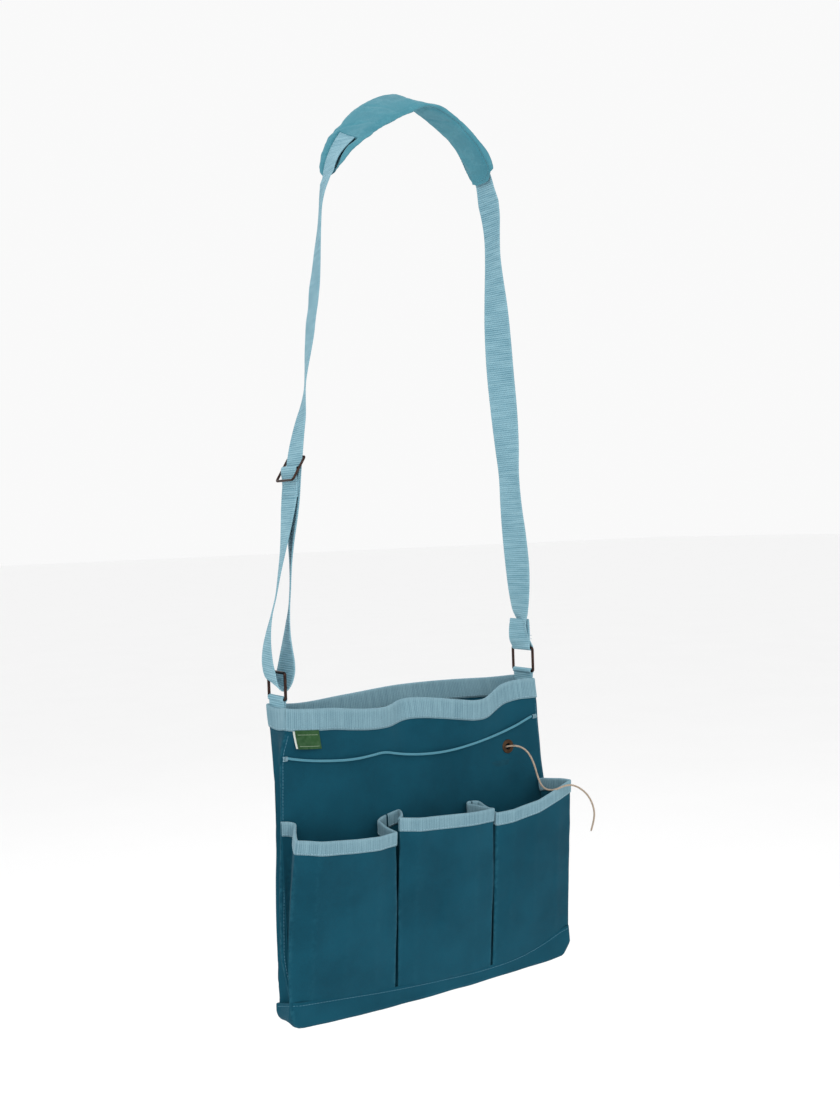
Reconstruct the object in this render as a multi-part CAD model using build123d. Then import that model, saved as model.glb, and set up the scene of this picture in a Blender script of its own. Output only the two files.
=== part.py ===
"""Garden tool bag: canvas body, three pleated pockets, adjustable shoulder strap with a pad.

Lengths in mm. The bag is drawn in bag coordinates: X along the bag, -Y to the front,
Z up from the bag's bottom. Every solid is then moved so that the origin is the underside
of the shoulder pad at its highest point, where a shoulder carries the bag.
"""
from build123d import *
import os
from math import acos, asin, atan2, cos, degrees, hypot, pi, radians, sin, tan

# ---- body of the bag -------------------------------------------------------------------
BAG_H = 318.0
RIM_HALF_W, BASE_HALF_W = 164.0, 188.0
RIM_FRONT_Y, BASE_FRONT_Y = -24.0, -40.0
RIM_BACK_Y, BASE_BACK_Y = 24.0, -16.0
CANVAS = 1.2
SEAM_GAP = 0.05
EDGE_TRIM = 0.3

# ---- bindings and base band ------------------------------------------------------------
BIND_T = 1.0
RIM_BIND_H = 22.0
POCKET_BIND_H = 13.0
BAND_H = 25.0
BAND_T = 1.4
BAND_STANDOFF = 2.2
BAND_OVERHANG = 1.5

# ---- pockets ------------------------------------------------------------------------------
POCKET_DEPTH_TOP, POCKET_DEPTH_BASE = 36.0, 3.0
POCKET_EDGE_INSET = 4.0
DIVIDER_X = 62.5
PLEAT_HALF_GAP = 1.6
RIM_Z_LEFT, RIM_Z_MIDDLE, RIM_Z_RIGHT = 184.0, 192.0, 190.0

# ---- eyelet, label, elastic, twine --------------------------------------------------------
EYELET_X, EYELET_Z = 113.0, 246.0
EYELET_R, EYELET_BORE_R, BARREL_R = 7.8, 3.6, 4.5
FLANGE_T = 1.0
LABEL_W, LABEL_H, LABEL_T = 26.0, 17.0, 1.0
LABEL_X = -143.0
ELASTIC_D = 2.6
TWINE_D = 2.2
BALL_R = 15.0
BALL_X, BALL_Z = 101.0, 204.0
TWINE_POCKET_W, TWINE_POCKET_H, TWINE_POCKET_DEPTH = 44.0, 44.0, 32.5

# ---- webbing, rings, slider ---------------------------------------------------------------
WEB_W, WEB_T = 31.5, 1.2
WEB_CLEAR = 0.3
RING_X = 160.4
RING_BAR_R = 1.6
RING_IN_W = 33.2
RING_BAR_GAP = 26.8
RING_CORNER = 2.2
RING_LOW_Z = 326.0
TAB_DEPTH = 34.0
SLIDER_BAR_R = 1.3
SLIDER_IN_W = 33.0
SLIDER_PITCH = 14.0
SLIDER_CORNER = 2.4
SLIDER_Z = 560.0
FOLD_LENGTH = 30.0
END_LENGTH = 34.0
TAIL_TURN, END_TURN = 160.0, 189.0
TAIL_GAP_ANGLE = 2.0
TAIL_BOW = ((13.0, 374.0), (9.5, 408.0), (4.5, 470.0))

# ---- shoulder pad ------------------------------------------------------------------------
ARCH_X, ARCH_Z = 15.0, 855.0
PAD_IN_R = 103.0
LINING_T = 1.2
FOAM_TOP_R = 110.5
WEB_R = 109.5
COVER_T = 1.4
PAD_W = 63.0
PAD_HALF_ANGLE = 80.0
SLIT_ANGLE = 62.0
GROOVE_W = 33.4
PAD_END_R = 26.0
LAYER_GAP = 0.1

# ---- derived ---------------------------------------------------------------------------
RING_HIGH_Z = RING_LOW_Z + RING_BAR_GAP
TURN_R = RING_BAR_R + WEB_CLEAR + WEB_T / 2
WALL_TILT = atan2(RIM_FRONT_Y - BASE_FRONT_Y, BAG_H)
ORIGIN = (ARCH_X, 0.0, ARCH_Z + PAD_IN_R)
TO_FRAME = Pos(-ORIGIN[0], -ORIGIN[1], -ORIGIN[2])


def between(base, rim, z):
    """Value at height z of something that runs straight from the bag's bottom to its rim."""
    return base + (rim - base) * z / BAG_H


def front_y(z):
    return between(BASE_FRONT_Y, RIM_FRONT_Y, z)


def back_y(z):
    return between(BASE_BACK_Y, RIM_BACK_Y, z)


def half_w(z):
    return between(BASE_HALF_W, RIM_HALF_W, z)


def plate(corners, thickness, towards, lift=0.0):
    """Flat plate on four corners, first lifted, then thickened, both along `towards`."""
    face = make_face(Polyline(*corners, close=True)).face()
    normal = face.normal_at()
    if normal.dot(Vector(*towards)) < 0:
        normal = normal * -1
    moved = Pos(*(normal * lift)) * face
    return extrude(moved, amount=thickness, dir=normal)


def prism(section_low, section_high, z_low, z_high):
    """Solid between two axis-aligned rectangles (x0, x1, y0, y1), with flat faces."""
    faces = []
    for (x0, x1, y0, y1), z in ((section_low, z_low), (section_high, z_high)):
        centre = Pos((x0 + x1) / 2, (y0 + y1) / 2, z)
        faces.append(centre * Rectangle(x1 - x0, y1 - y0))
    return loft(faces, ruled=True)


def face_quad(y_at, z_low, z_high, extra=0.0):
    """Corners of a strip across the front or back wall."""
    return [
        (-half_w(z_low) - extra, y_at(z_low), z_low),
        (half_w(z_low) + extra, y_at(z_low), z_low),
        (half_w(z_high) + extra, y_at(z_high), z_high),
        (-half_w(z_high) - extra, y_at(z_high), z_high),
    ]


def side_quad(side, z_low, z_high, inset):
    """Corners of a strip up a side wall, held clear of the front and back walls by `inset`."""
    return [
        (side * half_w(z_low), front_y(z_low) + inset, z_low),
        (side * half_w(z_low), back_y(z_low) - inset, z_low),
        (side * half_w(z_high), back_y(z_high) - inset, z_high),
        (side * half_w(z_high), front_y(z_high) + inset, z_high),
    ]


def wall_plane(x, z):
    """Plane on the outer face of the front wall, its Z axis pointing out of the bag."""
    out = (0, -cos(WALL_TILT), sin(WALL_TILT))
    return Plane(origin=(x, front_y(z), z), x_dir=(1, 0, 0), z_dir=out)


# ---- body ---------------------------------------------------------------------------------
def body_panels():
    low, high = EDGE_TRIM, BAG_H - EDGE_TRIM
    front = plate(face_quad(front_y, low, high), CANVAS, (0, 1, 0))
    bore = wall_plane(EYELET_X, EYELET_Z) * Cylinder(BARREL_R + SEAM_GAP, 8 * CANVAS)
    back = plate(face_quad(back_y, low, high), CANVAS, (0, -1, 0))
    inset = CANVAS + BIND_T + 3 * SEAM_GAP
    return {
        "front_panel": front - bore,
        "back_panel": back,
        "gusset_left": plate(side_quad(-1, low, high, inset), CANVAS, (1, 0, 0)),
        "gusset_right": plate(side_quad(1, low, high, inset), CANVAS, (-1, 0, 0)),
    }


def saddle(quad_of, outward, cap):
    """Webbing folded over an edge: a strip outside, a strip inside and a cap on top."""
    inward = tuple(-v for v in outward)
    quad = quad_of(BAG_H - RIM_BIND_H, BAG_H + BIND_T / 2)
    outside = plate(quad, BIND_T, outward, SEAM_GAP)
    inside = plate(quad, BIND_T, inward, CANVAS + SEAM_GAP)
    return outside + inside + cap


def rim_bindings():
    out = BIND_T + SEAM_GAP
    across = CANVAS + 2 * out
    cap_z = BAG_H + SEAM_GAP / 2
    wide = 2 * (half_w(BAG_H) + BIND_T)
    align = (Align.CENTER, Align.CENTER, Align.MIN)
    front_cap = Pos(0, RIM_FRONT_Y + CANVAS / 2, cap_z) * Box(wide, across, BIND_T, align=align)
    back_cap = Pos(0, RIM_BACK_Y - CANVAS / 2, cap_z) * Box(wide, across, BIND_T, align=align)
    nodes = {
        "rim_binding_front": saddle(
            lambda a, b: face_quad(front_y, a, b, BIND_T), (0, -1, 0), front_cap),
        "rim_binding_back": saddle(
            lambda a, b: face_quad(back_y, a, b, BIND_T), (0, 1, 0), back_cap),
    }
    inset = CANVAS + out + SEAM_GAP
    depth = RIM_BACK_Y - RIM_FRONT_Y - 2 * inset
    for name, side in (("rim_binding_left", -1), ("rim_binding_right", 1)):
        cap_x = side * (RIM_HALF_W - CANVAS / 2)
        cap = Pos(cap_x, 0, cap_z) * Box(across, depth, BIND_T, align=align)
        nodes[name] = saddle(
            lambda a, b, s=side: side_quad(s, a, b, inset), (side, 0, 0), cap)
    return nodes


def base_band():
    """Wide strip round the bottom: up the front over the pockets' edge, under, up the back."""
    top_half = half_w(BAND_H) + BAND_OVERHANG
    low_half = BASE_HALF_W + BAND_OVERHANG
    out = BAND_STANDOFF + BAND_T

    def section(half, z, grow_front, grow_back):
        return (-half, half, front_y(z) - grow_front, back_y(z) + grow_back)

    back_out = SEAM_GAP + BAND_T
    outer = prism(section(low_half, -BAND_T, out, back_out),
                  section(top_half, BAND_H, out, back_out), -BAND_T, BAND_H)
    inner = prism(section(low_half + 1, -SEAM_GAP, BAND_STANDOFF, SEAM_GAP),
                  section(top_half + 1, BAND_H + 1, BAND_STANDOFF, SEAM_GAP),
                  -SEAM_GAP, BAND_H + 1)
    return outer - inner


# ---- pockets ------------------------------------------------------------------------------
def pocket_list():
    """Each pocket: name, left side x, right side x (functions of z), rim height."""
    def edge(z):
        return half_w(z) - POCKET_EDGE_INSET

    inner = DIVIDER_X + PLEAT_HALF_GAP
    middle = DIVIDER_X - PLEAT_HALF_GAP
    return [
        ("left", lambda z: -edge(z), lambda z: -inner, RIM_Z_LEFT),
        ("middle", lambda z: -middle, lambda z: middle, RIM_Z_MIDDLE),
        ("right", lambda z: inner, edge, RIM_Z_RIGHT),
    ]


def pocket_wedge(left, right, rim_z, grow, z_low, z_high, back):
    """Wedge that fills a pocket, its left, right and front faces grown outwards by `grow`."""
    def section(z):
        share = (z - BAND_H) / (rim_z - BAND_H)
        depth = POCKET_DEPTH_BASE + (POCKET_DEPTH_TOP - POCKET_DEPTH_BASE) * share
        wall = front_y(z) - SEAM_GAP
        return (left(z) - grow, right(z) + grow, wall - depth - grow, wall + back)

    return prism(section(z_low), section(z_high), z_low, z_high)


def pockets():
    nodes = {}
    floor_z = BAND_H + SEAM_GAP
    for name, left, right, rim_z in pocket_list():
        def wedge(grow, low, high, back=0.0, sides=(left, right, rim_z)):
            return pocket_wedge(*sides, grow, low, high, back)

        hollow = wedge(-CANVAS, floor_z + CANVAS, rim_z + 2, back=2)
        nodes[f"pocket_{name}"] = wedge(0, floor_z, rim_z) - hollow
        low = rim_z - POCKET_BIND_H
        out = SEAM_GAP + BIND_T
        strip = wedge(out, low, rim_z + out) - wedge(-CANVAS - out, low - 2, rim_z + 4, back=2)
        cloth = wedge(SEAM_GAP, low - 4, rim_z + SEAM_GAP, back=2)
        cloth -= wedge(-CANVAS - SEAM_GAP, low - 6, rim_z + 2, back=4)
        nodes[f"pocket_binding_{name}"] = strip - cloth
    return nodes


# ---- small things on the front ----------------------------------------------------------------
def eyelet():
    place = wall_plane(EYELET_X, EYELET_Z)
    inside = CANVAS + SEAM_GAP
    align = (Align.CENTER, Align.CENTER, Align.MIN)
    flange = Pos(0, 0, SEAM_GAP) * Cylinder(EYELET_R, FLANGE_T, align=align)
    flange = fillet(flange.edges().group_by(Axis.Z)[-1], FLANGE_T * 0.6)
    barrel_len = inside + FLANGE_T + SEAM_GAP + FLANGE_T / 2
    barrel = Pos(0, 0, -inside - FLANGE_T) * Cylinder(BARREL_R, barrel_len, align=align)
    bore = Cylinder(EYELET_BORE_R, 40)
    washer = Pos(0, 0, -inside - FLANGE_T) * Cylinder(EYELET_R, FLANGE_T, align=align)
    washer -= Cylinder(BARREL_R + SEAM_GAP, 40)
    return {"eyelet_flange": place * (flange + barrel - bore), "eyelet_washer": place * washer}


def label_tag():
    top_z = BAG_H - RIM_BIND_H
    place = wall_plane(LABEL_X, top_z)
    layer = Box(LABEL_W, LABEL_H, LABEL_T, align=(Align.CENTER, Align.MAX, Align.MIN))
    return place * (Pos(0, -0.2, SEAM_GAP) * layer)


def cord_route(points, diameter, limp):
    """Centre line of a cord: straight runs joined by arcs as wide as the runs allow."""
    vectors = [Vector(*p) for p in points]
    radii = []
    for before, here, after in zip(vectors, vectors[1:], vectors[2:]):
        run = min((here - before).length, (after - here).length)
        turn = radians((here - before).get_angle(after - here))
        radii.append(0.45 * run / tan(turn / 2))
    least = min(radii) / diameter
    print(f"cord radii {[round(r, 1) for r in radii]} mm, least {least:.1f} diameters, limp {limp}")
    return FilletPolyline(*points, radius=radii)


def cord(points, diameter, limp=True):
    path = cord_route(points, diameter, limp)
    start = Plane(origin=path @ 0, z_dir=path % 0)
    tube = sweep(start * Circle(diameter / 2), path=path)
    ideal = pi * diameter ** 2 / 4 * path.length
    print(f"cord length {path.length:.1f} mm, volume {tube.volume:.1f}, section x length {ideal:.1f}")
    return tube


def elastic_points():
    """Over the front from side seam to side seam, tacked down above the first divider."""
    across = (
        (-166.0, 268.0, 1.8), (-150.0, 264.0, 2.6), (-122.0, 260.0, 4.0), (-92.0, 257.5, 4.4),
        (-68.0, 258.6, 2.8), (-51.0, 260.4, 1.8), (-34.0, 256.0, 2.8), (-6.0, 252.0, 4.2),
        (28.0, 251.2, 4.6), (62.0, 254.8, 4.2), (96.0, 261.0, 3.6), (124.0, 268.0, 2.8),
        (136.0, 272.0, 2.2), (148.0, 276.0, 1.8),
    )
    return [(x, front_y(z) - off, z) for x, z, off in across]


def elastic():
    points = elastic_points()
    nodes = {"elastic_cord": cord(points, ELASTIC_D)}
    for name, end in (("elastic_tack_left", points[0]), ("elastic_tack_right", points[-1])):
        knot = Pos(end[0] + (3.4 if end[0] > 0 else -3.4), end[1] - 0.4, end[2]) * Sphere(2.0)
        nodes[name] = knot
    return nodes


def twine():
    """From the ball in the inner pocket, out of the eyelet, over the right pocket's rim."""
    ball_y = front_y(BALL_Z) + CANVAS + BALL_R + 0.4
    points = [
        (BALL_X, ball_y, BALL_Z + BALL_R + 1.6),
        (BALL_X + 1.5, ball_y - 0.5, BALL_Z + BALL_R + 13.0),
        (EYELET_X - 3.5, front_y(EYELET_Z) + 6.0, EYELET_Z - 1.6),
        (EYELET_X + 3.0, front_y(EYELET_Z) - 7.0, EYELET_Z + 1.4),
        (123.0, -41.5, 245.2), (129.0, -46.0, 238.0), (132.5, -50.0, 226.0),
        (134.5, -53.0, 212.0), (136.5, -56.5, 202.0), (139.5, -63.0, 197.6),
        (144.0, -72.5, 199.0), (151.5, -77.5, 203.0), (161.0, -80.0, 203.4),
        (172.5, -81.0, 198.0), (184.0, -81.0, 188.0), (191.5, -80.5, 175.0),
        (193.5, -80.0, 161.0), (188.5, -79.0, 148.0),
    ]
    return {
        "twine": cord(points, TWINE_D),
        "twine_ball": Pos(BALL_X, ball_y, BALL_Z) * Sphere(BALL_R),
    }


def twine_pocket():
    """Small pocket sewn inside the front wall: back, two sides and a floor, open on top."""
    low = BALL_Z - BALL_R - CANVAS - 1.0
    high = low + TWINE_POCKET_H

    def section(z, shrink, reach):
        wall = front_y(z) + CANVAS + SEAM_GAP
        half = TWINE_POCKET_W / 2 - shrink
        return (BALL_X - half, BALL_X + half, wall - reach, wall + TWINE_POCKET_DEPTH - shrink)

    outer = prism(section(low, 0, 0), section(high, 0, 0), low, high)
    hollow_low, hollow_high = low + CANVAS, high + 2
    hollow = prism(section(hollow_low, CANVAS, 2), section(hollow_high, CANVAS, 2),
                   hollow_low, hollow_high)
    return outer - hollow


# ---- hardware ---------------------------------------------------------------------------------
def wire_loop(width, height, corner, bar_r):
    """Closed loop of round wire in the YZ plane; width and height are between bar centres."""
    outline = Plane.YZ * RectangleRounded(width, height, corner)
    path = outline.face().outer_wire()
    start = Plane(origin=path @ 0, z_dir=path % 0)
    return sweep(start * Circle(bar_r), path=path)


def rings():
    width = RING_IN_W + 2 * RING_BAR_R
    centre_z = RING_LOW_Z + RING_BAR_GAP / 2
    loop = wire_loop(width, RING_BAR_GAP, RING_CORNER, RING_BAR_R)
    return {
        "ring_left": Pos(-RING_X, 0, centre_z) * loop,
        "ring_right": Pos(RING_X, 0, centre_z) * loop,
    }


def ring_tab(side):
    """Webbing loop over the ring's lower bar, its two layers sewn inside the side wall."""
    clear_r = RING_BAR_R + WEB_CLEAR
    loop = Circle(clear_r + WEB_T) - Circle(clear_r)
    tongue_top = -clear_r - WEB_T / 2
    tongue_low = BAG_H - TAB_DEPTH - RING_LOW_Z
    tongue_h = tongue_top - tongue_low
    tongue = Pos(0, (tongue_top + tongue_low) / 2) * Rectangle(2 * WEB_T, tongue_h)
    profile = Plane.XZ * (loop + tongue)
    tab = extrude(profile, amount=WEB_W / 2, both=True)
    return Pos(side * RING_X, 0, RING_LOW_Z) * tab


# ---- webbing -------------------------------------------------------------------------------
def web(face):
    return extrude(Plane.XZ * face, amount=WEB_W / 2, both=True)


def straight(start, end, thickness=WEB_T):
    """Band of webbing seen edge-on between two points (x, z)."""
    (x0, z0), (x1, z1) = start, end
    length = hypot(x1 - x0, z1 - z0)
    angle = degrees(atan2(z1 - z0, x1 - x0))
    return Pos((x0 + x1) / 2, (z0 + z1) / 2) * Rot(0, 0, angle) * Rectangle(length, thickness)


def arc_band(centre, radius, start, size, thickness):
    """Part of a flat ring seen edge-on; angles in degrees from +X, anticlockwise."""
    big, small = radius + thickness / 2, radius - thickness / 2
    outer = CenterArc(centre, big, start, size)
    inner = CenterArc(centre, small, start, size)
    ends = [Line(outer @ k, inner @ k) for k in (0, 1)]
    return make_face([outer, inner, *ends])


def leg(side):
    """Straight leg touching the arch and the ring's bar: outward normal, top and bottom points.

    The left leg passes inside its bar and the right leg outside, so that each end turns
    back on the side where it lies.
    """
    dx, dz = side * RING_X - ARCH_X, RING_HIGH_Z - ARCH_Z
    apart = hypot(dx, dz)
    reach = WEB_R - side * TURN_R
    angle = atan2(dz, dx) + side * acos(reach / apart)
    normal = (cos(angle), sin(angle))
    top = (ARCH_X + WEB_R * normal[0], ARCH_Z + WEB_R * normal[1])
    low = (side * RING_X + side * TURN_R * normal[0], RING_HIGH_Z + side * TURN_R * normal[1])
    return degrees(angle), normal, top, low


def on_leg(side, out, z):
    """Point beside a leg: `out` along its outward normal from where the leg passes height z."""
    angle, normal, top, low = leg(side)
    share = (z - low[1]) / (top[1] - low[1])
    x = low[0] + (top[0] - low[0]) * share
    return (x + out * normal[0], z + out * normal[1])


def over_shoulder():
    right, left = leg(1)[0], leg(-1)[0] % 360
    joint = degrees(SEAM_GAP / WEB_R)
    return web(arc_band((ARCH_X, ARCH_Z), WEB_R, right + joint, left - right - 2 * joint, WEB_T))


def turn_under_bar(side, start, size):
    return arc_band((side * RING_X, RING_HIGH_Z), TURN_R, start, size, WEB_T)


def slider_out():
    """How far the slider's bars stand off the leg: top bar inside, middle bar outside."""
    top = -(WEB_T / 2 + WEB_CLEAR + SLIDER_BAR_R)
    middle = WEB_T / 2 + WEB_CLEAR + WEB_T + WEB_CLEAR + SLIDER_BAR_R
    return top, middle


def fold_layers():
    """Heights and offsets of the sewn fold that hangs from the slider's middle bar."""
    middle = slider_out()[1]
    turn = SLIDER_BAR_R + WEB_CLEAR + WEB_T / 2
    inner = middle - turn
    return middle, turn, inner, inner + WEB_T + SEAM_GAP


def straps():
    """Left leg with its turn under the ring's bar, the tail back up, and the right leg."""
    left_angle, _, left_top, left_low = leg(-1)
    right_angle, _, right_top, right_low = leg(1)
    left_turn = turn_under_bar(-1, left_angle + 180, -TAIL_TURN)
    left = straight(left_top, left_low) + left_turn

    leave = radians(left_angle + 180 - TAIL_TURN - TAIL_GAP_ANGLE)
    low = (-RING_X + TURN_R * cos(leave), RING_HIGH_Z + TURN_R * sin(leave))
    fold_in = fold_layers()[2]
    high = on_leg(-1, fold_in + WEB_T / 2, SLIDER_Z - FOLD_LENGTH - 4 * SEAM_GAP)
    bows = [on_leg(-1, out, z) for out, z in TAIL_BOW]
    tail = band([low, *bows, high])

    right_turn = turn_under_bar(1, right_angle, -END_TURN)
    leave = radians(right_angle - END_TURN)
    end_low = (RING_X + TURN_R * cos(leave), RING_HIGH_Z + TURN_R * sin(leave))
    beside = -(WEB_T + SEAM_GAP)
    end_mid = on_leg(1, beside, RING_HIGH_Z + END_LENGTH * 0.6)
    end_high = on_leg(1, beside, RING_HIGH_Z + END_LENGTH)
    right = straight(right_top, right_low) + right_turn + band([end_low, end_mid, end_high])
    return {
        "strap_over_shoulder": over_shoulder(),
        "strap_left": web(left),
        "strap_tail": web(tail),
        "strap_right": web(right),
    }


def band(points):
    """Band of webbing seen edge-on through several points (x, z), round at its bends."""
    shape = Sketch()
    for start, end in zip(points, points[1:]):
        shape += straight(start, end)
    for x, z in points[1:-1]:
        shape += Pos(x, z) * Circle(WEB_T / 2)
    return shape


def strap_fold():
    """The strap's sewn end: round the slider's middle bar and down again, two layers."""
    middle, turn, inner, outer = fold_layers()
    left_angle = leg(-1)[0]
    centre = on_leg(-1, middle, SLIDER_Z)
    low_z = SLIDER_Z - FOLD_LENGTH
    inside = straight(on_leg(-1, inner, SLIDER_Z), on_leg(-1, inner, low_z))
    outside = band([
        on_leg(-1, middle + turn, SLIDER_Z),
        on_leg(-1, outer, SLIDER_Z - FOLD_LENGTH * 0.5),
        on_leg(-1, outer, low_z),
    ])
    over = arc_band(centre, turn, left_angle - 180, -180, WEB_T)
    return web(over + inside + outside)


def slider():
    """Flat three-bar slider of round wire, tilted so that the leg passes through it."""
    top, middle = slider_out()
    tilt = degrees(asin((middle - top) / SLIDER_PITCH))
    width = SLIDER_IN_W + 2 * SLIDER_BAR_R
    loop = wire_loop(width, 2 * SLIDER_PITCH, SLIDER_CORNER, SLIDER_BAR_R)
    bar = Rot(90, 0, 0) * Cylinder(SLIDER_BAR_R, width)
    lean = 90 - leg(-1)[0] % 360 + 90
    x, z = on_leg(-1, middle, SLIDER_Z)
    return Pos(x, 0, z) * Rot(0, lean + tilt, 0) * (loop + bar)


# ---- shoulder pad -----------------------------------------------------------------------------
def arch(low_r, high_r, width, half_angle=PAD_HALF_ANGLE, start=None):
    """Band round the arch's centre, from -half_angle to +half_angle off the top."""
    begin = 90 - half_angle if start is None else start
    face = arc_band((ARCH_X, ARCH_Z), (low_r + high_r) / 2, begin, 2 * half_angle,
                    high_r - low_r)
    return extrude(Plane.XZ * face, amount=width / 2, both=True)


def pad_outline(width):
    """Everything above the pad's ends, seen along X, with round lower corners."""
    low_z = ARCH_Z + PAD_IN_R * cos(radians(PAD_HALF_ANGLE))
    height = 2 * PAD_IN_R
    sheet = Plane.YZ * RectangleRounded(width, height, PAD_END_R - (PAD_W - width) / 2)
    return Pos(0, 0, low_z + height / 2) * extrude(sheet, amount=2 * PAD_IN_R, both=True)


def shoulder_pad():
    foam_low = PAD_IN_R + LINING_T + LAYER_GAP
    cover_low = FOAM_TOP_R + LAYER_GAP
    cover_high = cover_low + COVER_T
    foam_w = PAD_W - 2 * (COVER_T + LAYER_GAP)
    groove_low = WEB_R - WEB_T / 2 - WEB_CLEAR
    groove = arch(groove_low, cover_high + 1, GROOVE_W, PAD_HALF_ANGLE + 5)
    foam = (arch(foam_low, FOAM_TOP_R, foam_w) - groove) & pad_outline(foam_w)
    cover = arch(foam_low, cover_high, PAD_W) & pad_outline(PAD_W)
    cover -= arch(foam_low - 1, cover_low, foam_w + 2 * LAYER_GAP, PAD_HALF_ANGLE + 5)
    window_half = (PAD_HALF_ANGLE - SLIT_ANGLE) / 2 + 5
    for start in (90 + SLIT_ANGLE, 90 - SLIT_ANGLE - 2 * window_half):
        cover -= arch(cover_low - 1, cover_high + 1, GROOVE_W, window_half, start)
    lining = arch(PAD_IN_R, PAD_IN_R + LINING_T, PAD_W) & pad_outline(PAD_W)
    return {"pad_lining": lining, "pad_foam": foam, "pad_cover": cover}


def build():
    nodes = {}
    nodes.update(body_panels())
    nodes.update(rim_bindings())
    nodes["base_band"] = base_band()
    nodes.update(pockets())
    nodes.update(eyelet())
    nodes["label_tag"] = label_tag()
    nodes.update(elastic())
    nodes.update(twine())
    nodes["twine_pocket"] = twine_pocket()
    nodes.update(rings())
    nodes["ring_tab_left"] = ring_tab(-1)
    nodes["ring_tab_right"] = ring_tab(1)
    nodes.update(straps())
    nodes["strap_fold"] = strap_fold()
    nodes["slider"] = slider()
    nodes.update(shoulder_pad())
    return nodes


def main():
    os.makedirs("parts", exist_ok=True)
    for name, shape in build().items():
        solids = shape.solids()
        print(f"{name}: {len(solids)} solid, {shape.volume / 1000:.2f} cm3")
        export_step(TO_FRAME * shape, f"parts/{name}.step")
    angle, normal, top, low = leg(-1)
    print("left leg direction", round(normal[1], 5), round(-normal[0], 5))


if __name__ == "__main__":
    main()
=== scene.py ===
"""Looks of the garden tool bag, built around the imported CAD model. Millimetres in the tables are measured
from the middle of the bag's bottom edge: X along the bag, -Y towards the pockets, Z up."""

import math

import bpy
import bmesh
import numpy as np
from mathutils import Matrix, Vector, noise


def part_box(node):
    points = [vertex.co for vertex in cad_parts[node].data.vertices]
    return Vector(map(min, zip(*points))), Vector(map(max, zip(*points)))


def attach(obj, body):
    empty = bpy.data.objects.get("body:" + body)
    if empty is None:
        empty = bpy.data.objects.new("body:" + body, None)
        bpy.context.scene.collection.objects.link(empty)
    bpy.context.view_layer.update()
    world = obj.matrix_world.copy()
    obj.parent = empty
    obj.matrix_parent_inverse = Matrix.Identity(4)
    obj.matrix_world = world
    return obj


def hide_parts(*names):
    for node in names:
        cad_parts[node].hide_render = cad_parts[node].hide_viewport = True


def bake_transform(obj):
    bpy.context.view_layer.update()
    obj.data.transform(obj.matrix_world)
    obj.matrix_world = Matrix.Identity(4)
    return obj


bpy.ops.wm.read_factory_settings(use_empty=True)
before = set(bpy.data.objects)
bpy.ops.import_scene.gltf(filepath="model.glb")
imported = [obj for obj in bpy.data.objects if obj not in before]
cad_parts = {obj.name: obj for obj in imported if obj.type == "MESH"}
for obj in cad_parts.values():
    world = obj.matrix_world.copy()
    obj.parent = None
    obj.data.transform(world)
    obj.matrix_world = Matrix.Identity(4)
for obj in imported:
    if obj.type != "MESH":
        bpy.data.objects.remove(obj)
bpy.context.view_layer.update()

MM = 0.001

# ---- datums, from the CAD
panel_low, panel_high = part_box("front_panel")
band_low, band_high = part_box("base_band")
label_low, label_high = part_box("label_tag")
CENTRE_X = 0.5 * (band_low.x + band_high.x)
BOTTOM_Z = panel_low.z
RING_LEFT_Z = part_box("ring_left")[1].z
ORIGIN = np.array([CENTRE_X, 0.0, BOTTOM_Z])
BASE_HALF_W = 0.5 * (panel_high.x - panel_low.x) / MM
PANEL_H = 318.0
RIM_HALF_W = 164.0
FOOT_HALF_W = BASE_HALF_W - 4.0
FRONT_FOOT_Y = -40.0
FRONT_LEAN = 16.0


def at(x, y, z):
    """A point given in millimetres from the middle of the bag's bottom edge, in metres in the CAD frame."""
    return Vector((CENTRE_X + x * MM, y * MM, BOTTOM_Z + z * MM))


def to_frame(points):
    """The same for an array of points."""
    return np.asarray(points, float) * MM + ORIGIN


def box_mm(node):
    """The two corners of a CAD node's box, in millimetres."""
    return [(np.array(corner) - ORIGIN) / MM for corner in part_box(node)]


# ---- camera first, then the cords
CAMERA_PLACE = (-760.0, -1166.6, 496.5)
CAMERA_TURN = -33.8
CAMERA_DOWN = 1.5
CAMERA_ROLL = -1.9
CAMERA_LENS = 41.0


def add_camera():
    turn = math.radians(CAMERA_TURN)
    down = math.radians(CAMERA_DOWN)
    roll = math.radians(CAMERA_ROLL)
    forward = Vector((-math.sin(turn) * math.cos(down), math.cos(turn) * math.cos(down), -math.sin(down)))
    right = Vector((math.cos(turn), math.sin(turn), 0.0))
    up = right.cross(forward)
    tilted_right = right * math.cos(roll) + up * math.sin(roll)
    tilted_up = up * math.cos(roll) - right * math.sin(roll)
    data = bpy.data.cameras.new("camera")
    data.lens = CAMERA_LENS
    data.clip_start = 0.01
    camera = bpy.data.objects.new("camera", data)
    bpy.context.collection.objects.link(camera)
    rows = [tilted_right, tilted_up, -forward]
    matrix = camera.matrix_world.copy()
    for column, axis in enumerate(rows):
        for row in range(3):
            matrix[row][column] = axis[row]
    matrix.translation = at(*CAMERA_PLACE)
    camera.matrix_world = matrix
    bpy.context.scene.camera = camera


# ---- small tools
def link(name, mesh, material=None, smooth=True):
    obj = bpy.data.objects.new(name, mesh)
    bpy.context.collection.objects.link(obj)
    if material is not None:
        mesh.materials.append(material)
    if smooth:
        mesh.polygons.foreach_set("use_smooth", [True] * len(mesh.polygons))
    return obj


def tidy_normals(mesh):
    bm = bmesh.new()
    bm.from_mesh(mesh)
    bmesh.ops.recalc_face_normals(bm, faces=bm.faces)
    bm.to_mesh(mesh)
    bm.free()


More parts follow.
